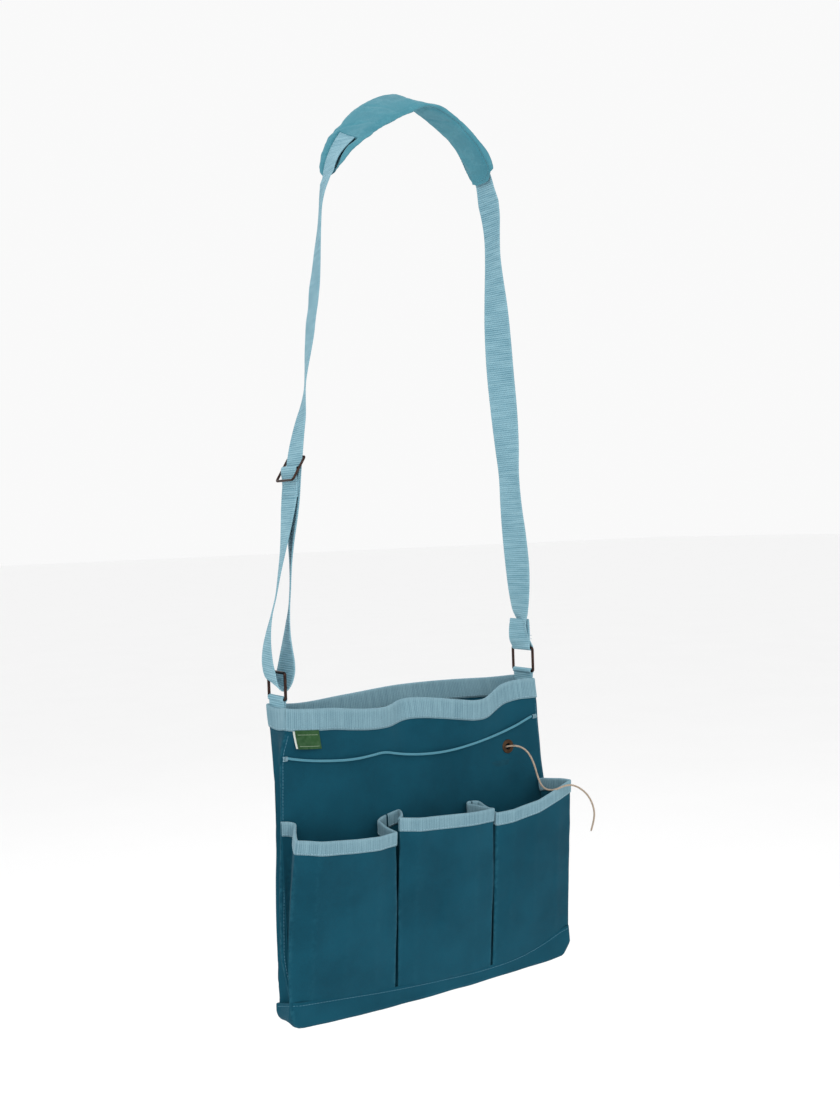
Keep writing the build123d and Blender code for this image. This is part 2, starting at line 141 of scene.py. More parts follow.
def mesh_from(name, points_mm, faces, st=None, wear=None):
    """A mesh from points in mm. Its points carry the cloth coordinate 'st', in metres, and the 'wear'."""
    mesh = bpy.data.meshes.new(name)
    mesh.from_pydata(to_frame(points_mm).tolist(), [], faces)
    mesh.update()
    count = len(mesh.vertices)
    grid = np.zeros((count, 3), np.float32)
    if st is not None:
        grid[:, :2] = np.asarray(st, np.float32) * MM
    mesh.attributes.new("st", "FLOAT_VECTOR", "POINT").data.foreach_set("vector", grid.ravel())
    worn = np.zeros(count, np.float32) if wear is None else np.asarray(wear, np.float32)
    mesh.attributes.new("wear", "FLOAT", "POINT").data.foreach_set("value", worn)
    tidy_normals(mesh)
    return mesh


def through(keys, t):
    """A smooth curve through rows of (t, value, ...): cubic Hermite with slopes from the neighbours."""
    table = np.asarray(keys, float)
    knots = table[:, 0]
    values = table[:, 1:]
    slopes = np.gradient(values, knots, axis=0)
    t = np.clip(np.asarray(t, float), knots[0], knots[-1])
    flat = t.ravel()
    i = np.clip(np.searchsorted(knots, flat, side="right") - 1, 0, len(knots) - 2)
    step = (knots[i + 1] - knots[i])[:, None]
    s = ((flat - knots[i])[:, None]) / step
    out = ((2 * s**3 - 3 * s**2 + 1) * values[i] + (s**3 - 2 * s**2 + s) * step * slopes[i]
           + (3 * s**2 - 2 * s**3) * values[i + 1] + (s**3 - s**2) * step * slopes[i + 1])
    out = out.reshape(t.shape + (values.shape[1],))
    return out[..., 0] if values.shape[1] == 1 else out


def unit(v):
    return v / np.maximum(np.linalg.norm(v, axis=-1, keepdims=True), 1e-9)


def smoothstep(edge0, edge1, x):
    t = np.clip((x - edge0) / (edge1 - edge0), 0.0, 1.0)
    return t * t * (3 - 2 * t)


def ripple(points_mm, size, seed):
    """Smooth noise in about -1 to 1 at every point of an array, for features of that size in mm."""
    flat = points_mm.reshape(-1, 3) / size + seed * 17.3
    values = [noise.noise(Vector(p)) for p in flat]
    return np.array(values).reshape(points_mm.shape[:-1]) * 1.6


def grid(a, b):
    """Pairs of a value from a and one from b: a runs along the grid and b across it."""
    return np.stack(np.broadcast_arrays(a[:, None], b[None, :]), -1)


def distance_along(path):
    """How far each point of a path is from its start, measured along it."""
    return np.concatenate([[0], np.cumsum(np.linalg.norm(np.diff(path, axis=0), axis=1))])


def squared(v, power):
    """Sines or cosines pressed towards a square, for a power below 1. The sign stays."""
    return np.sign(v) * np.abs(v) ** power


def grid_frames(points, wrap=False):
    """Normals of a grid of points, and its directions along and across. With wrap it closes along."""
    if wrap:
        du = np.roll(points, -1, 0) - np.roll(points, 1, 0)
    else:
        du = np.gradient(points, axis=0)
    dv = np.gradient(points, axis=1)
    return unit(np.cross(du, dv)), unit(du), unit(dv)


def grid_normals(points, wrap=False):
    return grid_frames(points, wrap)[0]


def open_edges(nu, nv, wrap):
    """The open edges of a grid, as loops of (i, j) places."""
    if wrap:
        return [[(i, 0) for i in range(nu)], [(i, nv - 1) for i in range(nu)]]
    ring = [(i, 0) for i in range(nu)] + [(nu - 1, j) for j in range(1, nv)]
    ring += [(i, nv - 1) for i in range(nu - 2, -1, -1)] + [(0, j) for j in range(nv - 2, 0, -1)]
    return [ring]


def round_faces(nu, nv, wrap):
    """Faces on a grid that closes across. With wrap it closes along too, or else its two ends are capped."""
    index = np.arange(nu * nv).reshape(nu, nv)
    us = np.arange(nu if wrap else nu - 1)
    un = (us + 1) % nu
    vn = (np.arange(nv) + 1) % nv
    corners = [index[us], index[un], index[un][:, vn], index[us][:, vn]]
    faces = np.stack(corners, -1).reshape(-1, 4).tolist()
    if not wrap:
        faces += [index[0].tolist(), index[-1][::-1].tolist()]
    return faces


def cloth(name, points, half, material, st, wear, wrap=False):
    """A closed sheet of cloth round a grid of points, with rounded edges. half is half its thickness."""
    nu, nv = points.shape[:2]
    half = np.broadcast_to(np.asarray(half, float), (nu, nv))
    normal, du, dv = grid_frames(points, wrap)
    outer = points + normal * half[..., None]
    inner = points - normal * half[..., None]
    index = np.arange(nu * nv).reshape(nu, nv)
    below = index + nu * nv
    us = np.arange(nu if wrap else nu - 1)
    un = (us + 1) % nu
    a, b = index[us][:, :-1], index[un][:, :-1]
    c, d = index[un][:, 1:], index[us][:, 1:]
    faces = np.stack([a, b, c, d], -1).reshape(-1, 4).tolist()
    faces += (np.stack([d, c, b, a], -1).reshape(-1, 4) + nu * nv).tolist()
    edge_points = []
    source = []
    for ring in open_edges(nu, nv, wrap):
        start = 2 * nu * nv + len(edge_points)
        for i, j in ring:
            way = np.zeros(3)
            if j == 0:
                way -= dv[i, j]
            if j == nv - 1:
                way += dv[i, j]
            if not wrap and i == 0:
                way -= du[i, j]
            if not wrap and i == nu - 1:
                way += du[i, j]
            edge_points.append(points[i, j] + unit(way) * half[i, j])
            source.append(i * nv + j)
        for k, here in enumerate(ring):
            n = (k + 1) % len(ring)
            there = ring[n]
            faces.append([int(index[here]), int(index[there]), start + n, start + k])
            faces.append([start + k, start + n, int(below[there]), int(below[here])])
    every_point = np.concatenate([outer.reshape(-1, 3), inner.reshape(-1, 3), np.array(edge_points)])
    flat_st = st.reshape(-1, 2)
    flat_wear = np.broadcast_to(wear, (nu, nv)).ravel()
    mesh = mesh_from(name, every_point, faces, np.concatenate([flat_st, flat_st, flat_st[source]]),
                     np.concatenate([flat_wear, flat_wear, flat_wear[source]]))
    return link(name, mesh, material)


def frames_along(path):
    """Tangents and two cross directions along a path, turned as little as possible."""
    tangent = unit(np.gradient(path, axis=0))
    side = np.zeros_like(path)
    first = np.cross(tangent[0], (0.0, 0.0, 1.0))
    if np.linalg.norm(first) < 0.1:
        first = np.cross(tangent[0], (0.0, 1.0, 0.0))
    side[0] = unit(first)
    for i in range(1, len(path)):
        side[i] = unit(side[i - 1] - tangent[i] * np.dot(side[i - 1], tangent[i]))
    return tangent, side, np.cross(tangent, side)


def tube(path, radius, sides):
    """Points, faces and cloth coordinates of a round tube along a path in mm, with rounded ends."""
    path = np.asarray(path, float)
    radius = np.broadcast_to(np.asarray(radius, float), (len(path),)).copy()
    tangent, side, lift = frames_along(path)
    ends = np.array([0.35, 0.8])
    head = path[:1] - tangent[:1] * radius[0] * (1 - ends[:, None])
    tail = path[-1:] + tangent[-1:] * radius[-1] * (1 - ends[::-1, None])
    path = np.concatenate([head, path, tail])
    radius = np.concatenate([radius[0] * ends, radius, radius[-1] * ends[::-1]])
    side = np.concatenate([side[:1], side[:1], side, side[-1:], side[-1:]])
    lift = np.concatenate([lift[:1], lift[:1], lift, lift[-1:], lift[-1:]])
    angle = np.linspace(0, 2 * math.pi, sides, endpoint=False)
    ring = side[:, None] * np.cos(angle)[None, :, None] + lift[:, None] * np.sin(angle)[None, :, None]
    points = path[:, None] + ring * radius[:, None, None]
    st = grid(distance_along(path), angle * radius.max())
    return points.reshape(-1, 3), round_faces(len(path), sides, wrap=False), st.reshape(-1, 2)


def merged(name, parts, material):
    """One mesh from several (points, faces, st) parts."""
    points, faces, st = [], [], []
    base = 0
    for p, f, s in parts:
        points.append(p)
        st.append(s)
        faces += [[i + base for i in face] for face in f]
        base += len(p)
    return link(name, mesh_from(name, np.concatenate(points), faces, np.concatenate(st)), material)


def resample(path, step):
    """The same path with points every step mm."""
    path = np.asarray(path, float)
    run = distance_along(path[:, :3])
    count = max(4, int(round(run[-1] / step)) + 1)
    want = np.linspace(0, run[-1], count)
    columns = [np.interp(want, run, path[:, k]) for k in range(path.shape[1])]
    return np.stack(columns, 1), want


# a stitch: places along it, and how high and how thick it is there in thread radii
STITCH_ALONG = np.array([0.0, 0.18, 0.5, 0.82, 1.0])
STITCH_HIGH = np.array([-0.25, 0.45, 0.7, 0.45, -0.25])
STITCH_THICK = np.array([0.8, 1, 1, 1, 0.8])


def stitches(name, lines, material, body, length=2.3, gap=1.1, radius=0.28):
    """Rows of thread: short round stitches lying along each line of (points, outward normals) in mm."""
    share = length / (length + gap)
    parts = []
    for points, normals in lines:
        both, _ = resample(np.concatenate([points, normals], 1), length + gap)
        for here, there in zip(both, both[1:]):
            bar = here[:3] + (there[:3] - here[:3]) * (STITCH_ALONG[:, None] * share)
            bar = bar + unit(here[3:]) * (STITCH_HIGH * radius)[:, None]
            parts.append(tube(bar, radius * STITCH_THICK, 6))
    obj = merged(name, parts, material)
    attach(obj, body)
    return obj


# ---- materials
def linear(hex_colour):
    channels = [int(hex_colour[i:i + 2], 16) / 255 for i in (0, 2, 4)]
    return [c / 12.92 if c <= 0.04045 else ((c + 0.055) / 1.055) ** 2.4 for c in channels] + [1.0]


class Nodes:
    """A short way to write a node material."""

    def __init__(self, name):
        self.material = bpy.data.materials.new(name)
        self.material.use_nodes = True
        self.tree = self.material.node_tree
        self.shader = self.tree.nodes["Principled BSDF"]

    def add(self, kind, **settings):
        node = self.tree.nodes.new(kind)
        for key, value in settings.items():
            setattr(node, key, value)
        return node

    def wire(self, source, target):
        if isinstance(source, (int, float)):
            target.default_value = source
        else:
            self.tree.links.new(source, target)

    def maths(self, operation, a, b=0.0, clamp=False):
        node = self.add("ShaderNodeMath", operation=operation, use_clamp=clamp)
        self.wire(a, node.inputs[0])
        self.wire(b, node.inputs[1])
        return node.outputs[0]

    def times(self, a, b, clamp=False):
        return self.maths("MULTIPLY", a, b, clamp)

    def plus(self, a, b):
        return self.maths("ADD", a, b)

    def cloth_axes(self):
        node = self.add("ShaderNodeAttribute", attribute_name="st")
        split = self.add("ShaderNodeSeparateXYZ")
        self.tree.links.new(node.outputs["Vector"], split.inputs[0])
        return split.outputs[0], split.outputs[1]

    def worn(self):
        return self.add("ShaderNodeAttribute", attribute_name="wear").outputs["Fac"]

    def noise(self, scale, detail=3.0, roughness=0.55, stretch=None, source="Object"):
        coordinates = self.add("ShaderNodeTexCoord").outputs[source]
        if stretch:
            mapping = self.add("ShaderNodeMapping")
            mapping.inputs["Scale"].default_value = stretch
            self.tree.links.new(coordinates, mapping.inputs[0])
            coordinates = mapping.outputs[0]
        node = self.add("ShaderNodeTexNoise")
        node.inputs["Scale"].default_value = scale
        node.inputs["Detail"].default_value = detail
        node.inputs["Roughness"].default_value = roughness
        self.tree.links.new(coordinates, node.inputs["Vector"])
        return node.outputs[0]

    def blend(self, factor, a, b, mode="MIX"):
        node = self.add("ShaderNodeMix", data_type="RGBA", blend_type=mode)
        self.wire(factor, node.inputs[0])
        for value, socket in ((a, node.inputs[6]), (b, node.inputs[7])):
            if isinstance(value, (list, tuple)):
                socket.default_value = value
            else:
                self.tree.links.new(value, socket)
        return node.outputs[2]

    def shaded(self, colour, shade):
        """A colour multiplied by a grey."""
        tint = self.add("ShaderNodeCombineColor")
        for socket in tint.inputs:
            self.wire(shade, socket)
        return self.blend(1.0, colour, tint.outputs[0], "MULTIPLY")

    def ramp(self, value, low, high, to_low=0.0, to_high=1.0):
        node = self.add("ShaderNodeMapRange", clamp=True)
        self.wire(value, node.inputs[0])
        for number, socket in zip((low, high, to_low, to_high), (1, 2, 3, 4)):
            node.inputs[socket].default_value = number
        return node.outputs[0]

    def bump(self, heights):
        """Bumps, one after another: pairs of (height, depth in metres)."""
        last = None
        for height, depth in heights:
            node = self.add("ShaderNodeBump")
            node.inputs["Strength"].default_value = 1.0
            node.inputs["Distance"].default_value = depth
            self.tree.links.new(height, node.inputs["Height"])
            if last is not None:
                self.tree.links.new(last, node.inputs["Normal"])
            last = node.outputs[0]
        self.tree.links.new(last, self.shader.inputs["Normal"])

    def finish(self, colour, roughness, sheen=0.0, metallic=0.0, specular=0.3):
        self.tree.links.new(colour, self.shader.inputs["Base Color"])
        self.wire(roughness, self.shader.inputs["Roughness"])
        self.shader.inputs["Metallic"].default_value = metallic
        self.shader.inputs["Specular IOR Level"].default_value = specular
        self.shader.inputs["Sheen Weight"].default_value = sheen
        self.shader.inputs["Sheen Roughness"].default_value = 0.5
        return self.material


def woven(n, pitch_s, pitch_t):
    """Plain weave: threads over and under, from 0 to 1."""
    s, t = n.cloth_axes()
    across = n.maths("SINE", n.times(s, 2 * math.pi / (pitch_s * MM)))
    along = n.maths("SINE", n.times(t, 2 * math.pi / (pitch_t * MM)))
    return n.plus(n.times(n.times(across, along), 0.5), 0.5)


def canvas_material(name, body, light, dark, worn):
    n = Nodes(name)
    weave = woven(n, 1.05, 0.95)
    clouds = n.ramp(n.noise(14.0, 4.0), 0.34, 0.68)
    streaks = n.ramp(n.noise(60.0, 3.0, stretch=(1.0, 1.0, 0.25)), 0.3, 0.75)
    specks = n.ramp(n.noise(900.0, 2.0), 0.35, 0.7)
    colour = n.blend(clouds, linear(dark), linear(light))
    colour = n.blend(n.times(streaks, 0.35), colour, linear(body))
    thread = n.plus(n.times(weave, 0.26), n.times(specks, 0.16))
    colour = n.shaded(colour, n.plus(thread, 0.79))
    rubbed = n.times(n.worn(), n.ramp(n.noise(220.0, 3.0), 0.4, 0.65), clamp=True)
    colour = n.blend(rubbed, colour, linear(worn))
    n.bump([(n.noise(26.0, 3.0), 0.0012), (weave, 0.00016)])
    return n.finish(colour, n.ramp(specks, 0.0, 1.0, 0.86, 0.97), sheen=0.03, specular=0.1)


def webbing_material(name, light, dark, rib, across, worn, slubs, lift=0.0002):
    """Ribbed webbing: weft ribs across the strap, each broken into small knuckles by the warp."""
    n = Nodes(name)
    s, t = n.cloth_axes()
    ribs = n.maths("SINE", n.times(s, 2 * math.pi / (rib * MM)))
    half_step = n.times(s, math.pi / (rib * MM))
    knuckle = n.maths("SINE", n.plus(n.times(t, 2 * math.pi / (across * MM)), half_step))
    height = n.plus(n.times(ribs, 0.38), n.times(knuckle, 0.1))
    height = n.plus(height, 0.5)
    slub = n.add("ShaderNodeTexNoise")
    slub.inputs["Scale"].default_value = 1.0
    slub.inputs["Detail"].default_value = 2.0
    spot = n.add("ShaderNodeCombineXYZ")
    n.wire(n.times(s, 300.0), spot.inputs[0])
    n.wire(n.times(t, 22.0), spot.inputs[1])
    n.wire(spot.outputs[0], slub.inputs["Vector"])
    heavy = n.ramp(slub.outputs["Fac"], 0.42, 0.66)
    fuzz = n.ramp(n.noise(700.0, 2.0), 0.3, 0.7)
    clouds = n.ramp(n.noise(22.0, 3.0), 0.35, 0.65)
    colour = n.blend(n.ramp(height, 0.12, 0.8), linear(dark), linear(light))
    colour = n.blend(n.times(clouds, 0.3), colour, linear(worn))
    colour = n.blend(n.times(heavy, 0.34), colour, linear(slubs))
    colour = n.blend(n.times(n.worn(), 0.5), colour, linear(worn))
    colour = n.shaded(colour, n.plus(n.times(fuzz, 0.14), 0.92))
    n.bump([(height, lift), (fuzz, 0.00008)])
    return n.finish(colour, n.ramp(fuzz, 0.0, 1.0, 0.78, 0.92), sheen=0.05, specular=0.15)


def suede_material(name, body, light, dark):
    n = Nodes(name)
    clouds = n.ramp(n.noise(18.0, 5.0, 0.6), 0.32, 0.7)
    streaks = n.noise(34.0, 4.0, 0.6, stretch=(1.0, 0.45, 1.0))
    # thin random crease lines, blended towards the light colour: a painted highlight on crease ridges
    crease_highlight = n.ramp(n.maths("ABSOLUTE", n.maths("SUBTRACT", streaks, 0.5)), 0.0, 0.035, 1.0, 0.0)
    nap = n.noise(1400.0, 2.0)
    colour = n.blend(clouds, linear(dark), linear(body))
    colour = n.blend(n.times(crease_highlight, 0.3), colour, linear(light))
    colour = n.blend(n.times(n.worn(), 0.6), colour, linear(light))
    colour = n.shaded(colour, n.ramp(nap, 0.25, 0.75, 0.86, 1.1))
    n.bump([(n.noise(40.0, 3.0), 0.0012), (nap, 0.00012)])
    return n.finish(colour, n.ramp(clouds, 0.0, 1.0, 0.8, 0.95), sheen=0.12, specular=0.1)


def metal_material(name, body, bright, rough_low, rough_high):
    n = Nodes(name)
    blotch = n.ramp(n.noise(160.0, 4.0, 0.6), 0.35, 0.7)
    scuffs = n.ramp(n.noise(900.0, 3.0, stretch=(1.0, 0.2, 1.0)), 0.55, 0.72)
    colour = n.blend(blotch, linear(body), linear(bright))
    colour = n.blend(n.times(scuffs, 0.35), colour, linear(bright))
    n.bump([(n.noise(500.0, 3.0), 0.00006)])
    return n.finish(colour, n.ramp(blotch, 0.0, 1.0, rough_low, rough_high), metallic=1.0, specular=0.5)


def cord_material(name, light, dark, pitch, turns):
    """Twisted or braided cord: slanting threads round it."""
    n = Nodes(name)
    s, t = n.cloth_axes()
    slant = n.plus(n.times(s, 2 * math.pi / (pitch * MM)),
                   n.times(t, 2 * math.pi / (turns * MM)))
    threads = n.ramp(n.maths("SINE", slant), -1.0, 1.0)
    fuzz = n.ramp(n.noise(1200.0, 3.0), 0.3, 0.7)
    colour = n.blend(threads, linear(dark), linear(light))
    colour = n.blend(n.times(fuzz, 0.4), colour, linear(light))
    n.bump([(threads, 0.00018), (fuzz, 0.0001)])
    return n.finish(colour, n.ramp(fuzz, 0.0, 1.0, 0.7, 0.95), sheen=0.05, specular=0.15)


def thread_material(name, light, dark):
    n = Nodes(name)
    fuzz = n.ramp(n.noise(1500.0, 2.0), 0.3, 0.7)
    colour = n.blend(fuzz, linear(dark), linear(light))
    n.bump([(fuzz, 0.00005)])
    return n.finish(colour, n.ramp(fuzz, 0.0, 1.0, 0.6, 0.85), sheen=0.1)


CANVAS = canvas_material("canvas", "0d4759", "114e61", "0b4152", "2b6678")
LINING = canvas_material("inner_canvas", "114252", "144b5c", "0e3a49", "2b6071")
BINDING = webbing_material("binding_webbing", "7799a6", "557b89", 2.1, 1.9, "84a5b1", "8db0bc")
STRAP = webbing_material("strap_webbing", "83adbb", "578596", 2.3, 2.1, "90b8c5", "a3cad6", lift=0.0003)
SUEDE = suede_material("pad_suede", "4b8b9a", "5d9aa8", "417f8f")
BRONZE = metal_material("bronze", "2e2523", "4b3833", 0.34, 0.5)
COPPER = metal_material("copper", "352a22", "57412f", 0.36, 0.52)
ELASTIC = cord_material("elastic_cord", "64a0b2", "3a7a8f", 2.4, 2.8)
TWINE = cord_material("twine", "c3b3a2", "8b7864", 1.9, 1.6)
THREAD_CANVAS = thread_material("canvas_thread", "5389a0", "3a7085")
THREAD_LIGHT = thread_material("light_thread", "a9c9d4", "7aa3b2")
THREAD_PAD = thread_material("pad_thread", "6fa7b4", "3f7787")
THREAD_WHITE = thread_material("white_thread", "9fb39a", "7f9a7c")
LABEL_GREEN = canvas_material("label_green", "2f5430", "3a6238", "25452a", "6b8a68")
LABEL_WHITE = canvas_material("label_white", "d8ddd6", "e6e9e3", "c2c9c2", "f0f0ee")

add_camera()

# ---- cords
TWINE_ROUTE = ((101, -13.14, 220.6), (102.5, -13.64, 232), (109.5, -21.62, 244.4), (116, -34.62, 247.4),
               (123, -41.5, 245.2), (129, -46, 238), (132.5, -50, 226), (134.5, -53, 212),
               (136.5, -56.5, 202), (139.5, -63, 197.6), (144, -72.5, 199), (151.5, -77.5, 203),
               (161, -80, 203.4), (172.5, -81, 198), (184, -81, 188), (191.5, -80.5, 175),
               (193.5, -80, 161), (188.5, -79, 148))
ELASTIC_ROUTE = ((-166, 268, 1.8), (-150, 264, 2.6), (-122, 260, 4), (-92, 257.5, 4.4),
                 (-68, 258.6, 2.8), (-51, 260.4, 1.8), (-34, 256, 2.8), (-6, 252, 4.2), (28, 251.2, 4.6),
                 (62, 254.8, 4.2), (96, 261, 3.6), (124, 268, 2.8), (136, 272, 2.2), (148, 276, 1.8))
ELASTIC_D = 2.6


def front_y(z):
    return FRONT_FOOT_Y + FRONT_LEAN * z / PANEL_H


def half_width(z):
    return FOOT_HALF_W - (FOOT_HALF_W - RIM_HALF_W) * z / PANEL_H


def read_route(name, route_mm):
    """Points, in mm, read from a NURBS spline through the route's control points."""
    data = bpy.data.curves.new(name, "CURVE")
    data.dimensions = "3D"
    data.resolution_u = 14
    spline = data.splines.new("NURBS")
    spline.points.add(len(route_mm) - 1)
    for point, place in zip(spline.points, route_mm):
        point.co = (*at(*place), 1.0)
    spline.order_u = 3
    spline.use_endpoint_u = True
    holder = bpy.data.objects.new(name, data)
    bpy.context.collection.objects.link(holder)
    bpy.context.view_layer.update()
    mesh = bpy.data.meshes.new_from_object(holder)
    points = np.array([v.co for v in mesh.vertices], float)
    bpy.data.objects.remove(holder)
    bpy.data.curves.remove(data)
    bpy.data.meshes.remove(mesh)
    return (points - ORIGIN) / MM


def strands(path_mm, count, strand_r, spread, pitch, sides):
    """Twisted strands round a path, as tube parts."""
    path, run = resample(path_mm, 0.7)
    _, side, lift = frames_along(path)
    parts = []
    for k in range(count):
        angle = 2 * math.pi * (run / pitch + k / count)
        turn = side * np.cos(angle)[:, None] + lift * np.sin(angle)[:, None]
        parts.append(tube(path + turn * spread, strand_r, sides))
    return parts


def add_twine():
    path = read_route("twine_route", TWINE_ROUTE)
    parts = strands(path, 3, 0.62, 0.5, 6.5, 8)
    tangent, side, lift = frames_along(path)
    for k in range(9):
        angle = 2 * math.pi * k / 9
        out = side[-1] * math.cos(angle) + lift[-1] * math.sin(angle)
        reach = 1.7 + 0.6 * math.sin(5 * k)
        start = path[-1] + out * 0.45
        hair = np.array([start + tangent[-1] * reach * f + out * 0.55 * f * f * reach * 0.5
                         for f in np.linspace(0, 1, 5)])
        parts.append(tube(hair, np.linspace(0.16, 0.06, 5), 5))
    twine = merged("twine_strands", parts, TWINE)
    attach(twine, "bag")
    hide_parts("twine")


def add_elastic():
    route = [(x, front_y(z) - off, z) for x, z, off in ELASTIC_ROUTE]
    path = read_route("elastic_route", route)
    fine, run = resample(path, 0.8)
    part = tube(fine, ELASTIC_D / 2 * (1 + 0.05 * np.sin(run * 2 * math.pi / 2.4)), 14)
    elastic = merged("elastic_line", [part], ELASTIC)
    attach(elastic, "bag")
    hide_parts("elastic_cord")


add_twine()
add_elastic()

# ---- the canvas body: a lofted shell. Rims are rows of (x, height, depth), both past a level, flat rim
FRONT_RUN = 2 * RIM_HALF_W
SIDE_RUN = 44.0
GIRTH = 2 * FRONT_RUN + 2 * SIDE_RUN
CANVAS_HALF = 0.6
RIM_CLOTH = 317.2
FRONT_RIM = ((-164, -1.5, 0.0), (-130, -4.5, -2.5), (-112, -5.5, -4.5), (-90, -8.5, -6.0),
             (-70, -10.5, -6.8), (-54, -11.0, -6.5), (-42, -10.5, -3.5), (-32, -9.0, 3.0),
             (-24, -7.5, 8.0), (-13, -6.5, 9.5), (4, -7.0, 5.0), (26, -9.5, -3.0), (50, -13.0, -9.5),
             (70, -15.5, -10.5), (84, -14.5, -8.5), (98, -8.5, -5.0), (110, -3.5, -1.5),
             (128, -0.5, 1.0), (164, 0.0, 0.0))
BACK_RIM = ((-164, 0.0, 0.0), (-132, -3.5, 2.5), (-68, -1.0, 5.0), (7, 3.0, 6.0), (80, 2.0, 4.5),
            (130, 0.0, 2.0), (164, 0.0, 0.0))
# how deep the back's edge lies, as (height, y)
BACK_SIDE = ((0, -16.0), (100, -9.5), (200, -1.0), (270, 9.0), (318, 20.0))
CORNER_PULL = 6.8  # how far the front right corner is drawn in near the rim
CORNER_SPREAD = 8.0  # how far the front left corner stands out below the rim
GUSSET_TUCK = 7.5
RIM_DIP = -2.5
BACK_SAG = 8.0


def round_the_bag(u):
    """Where a run u is: -1 to 1 along the front and the back, and 0 to 1 along the right and left gussets."""
    x_front = 2 * u / FRONT_RUN - 1
    f = np.clip((u - FRONT_RUN) / SIDE_RUN, 0, 1)
    x_back = 1 - 2 * (u - FRONT_RUN - SIDE_RUN) / FRONT_RUN
    g = np.clip((u - 2 * FRONT_RUN - SIDE_RUN) / SIDE_RUN, 0, 1)
    return x_front, f, x_back, g


def by_side(u, *sides):
    """Picks, for each run u, from the values on the front, right, back and left."""
    part = np.select([u < FRONT_RUN, u < FRONT_RUN + SIDE_RUN, u < 2 * FRONT_RUN + SIDE_RUN], [0, 1, 2], 3)
    sides = np.broadcast_arrays(*sides)
    return np.choose(part.reshape(part.shape + (1,) * (sides[0].ndim - part.ndim)), sides)


def column(table, number):
    """The first column of a table with one of its others."""
    return [(row[0], row[number]) for row in table]


def body_outline(u, z):
    """The canvas round the bag at height z. u runs in mm: front, right gusset, back, left gusset."""
    u = np.mod(u, GIRTH)
    x_front, f, x_back, g = round_the_bag(u)
    width = half_width(z) - 0.6 - smoothstep(45.0, 22.0, z) * 2.4 - smoothstep(18.0, 0.0, z) * 12.0
    pull = CORNER_PULL * smoothstep(90.0, 215.0, z)
    back_edge = through(BACK_SIDE, z)
    rim = np.clip((z - 232.0) / 86.0, 0.0, 1.0)
    y_front = front_y(z) + through(column(FRONT_RIM, 2), x_front * RIM_HALF_W) * rim ** 1.5
    spread = CORNER_SPREAD * smoothstep(300.0, 266.0, z) * smoothstep(30.0, 80.0, z)
    x_cloth = x_front * width - pull * (0.5 + 0.5 * x_front) ** 2.5
    x_cloth = x_cloth - spread * smoothstep(-0.8, -1.0, x_front)
    front = np.stack([x_cloth, y_front], -1)
    tuck = GUSSET_TUCK - 7.0 * smoothstep(236, 290, z)
    x_right = width - tuck * (1 - np.abs(2 * f - 1) ** 1.6) - pull * (1 - f)
    right = np.stack([x_right, front_y(z) + (back_edge - front_y(z)) * f], -1)
    back_wave = through(column(BACK_RIM, 2), x_back * RIM_HALF_W)
    sag = BACK_SAG * (1 - x_back ** 2) * np.sin(math.pi * np.clip(z / PANEL_H, 0, 1))
    back = np.stack([x_back * width, back_edge + back_wave * rim + sag], -1)
    x_left = -width + tuck * (1 - np.abs(2 * g - 1) ** 1.6) - spread * smoothstep(0.4, 1.0, g)
    left = np.stack([x_left, back_edge + (front_y(z) - back_edge) * g], -1)
    return by_side(u, front, right, back, left)


def body_rim(u):
    """Height of the canvas's top edge round the bag."""
    u = np.mod(u, GIRTH)
    _, f, _, g = round_the_bag(u)
    front = through(column(FRONT_RIM, 1), u - RIM_HALF_W)
    back = through(column(BACK_RIM, 1), RIM_HALF_W - (u - FRONT_RUN - SIDE_RUN))
    right, left = [RIM_DIP * (1 - np.abs(2 * share - 1) ** 2) for share in (f, g)]
    return RIM_CLOTH + by_side(u, front, right, back, left)


SOFTEN = ((-5.0, 1 / 16), (-2.5, 4 / 16), (0.0, 6 / 16), (2.5, 4 / 16), (5.0, 1 / 16))


def softened(value_of, u, reach=1.0):
    """What value_of gives for a run u, evened out over a few mm to each side, so that folds are round."""
    return sum(weight * value_of(u + step * reach) for step, weight in SOFTEN)


def smooth_body(u, z):
    return np.concatenate([softened(lambda run: body_outline(run, z), u), z[..., None]], -1)


def wrinkled(point_of, u, v, depth_of, size, seed):
    """A surface moved along its own normal by smooth wrinkles, the same whatever grid it is read on."""
    u, v = np.broadcast_arrays(np.asarray(u, float), np.asarray(v, float))
    points = point_of(u, v)
    du = point_of(u + 1.0, v) - point_of(u - 1.0, v)
    dv = point_of(u, v + 1.0) - point_of(u, v - 1.0)
    normal = unit(np.cross(du, dv))
    large = ripple(points * (1.0, 1.0, 0.45), size, seed)
    small = ripple(points * (1.0, 1.0, 0.7), size * 0.38, seed + 1)
    return points + normal * ((1.5 * large + 0.35 * small) * depth_of(u, v, points))[..., None]


def body_depth(u, z, points):
    return smoothstep(8.0, 60.0, z) * (1 - 0.55 * smoothstep(285.0, 312.0, z))


def body_surface(u, z):
    return wrinkled(smooth_body, u, z, body_depth, 46.0, 1.0)


def rim_height(us):
    return softened(body_rim, us)


def body_below(us, drops):
    """The body's surface at each drop below its rim."""
    return body_surface(us[:, None], rim_height(us)[:, None] - np.asarray(drops)[None, :])


def corner_nearness(us):
    """How far each run is from the nearest corner of the bag."""
    corners = np.array([0.0, FRONT_RUN, FRONT_RUN + SIDE_RUN, 2 * FRONT_RUN + SIDE_RUN, GIRTH])
    return np.abs(us[:, None] - corners[None, :]).min(1)


# the eyelet's middle as (x, height), and the hole in the canvas behind it
EYELET = (113.0, 246.0)
EYELET_HOLE = 4.4
BODY_LOW = 4.0


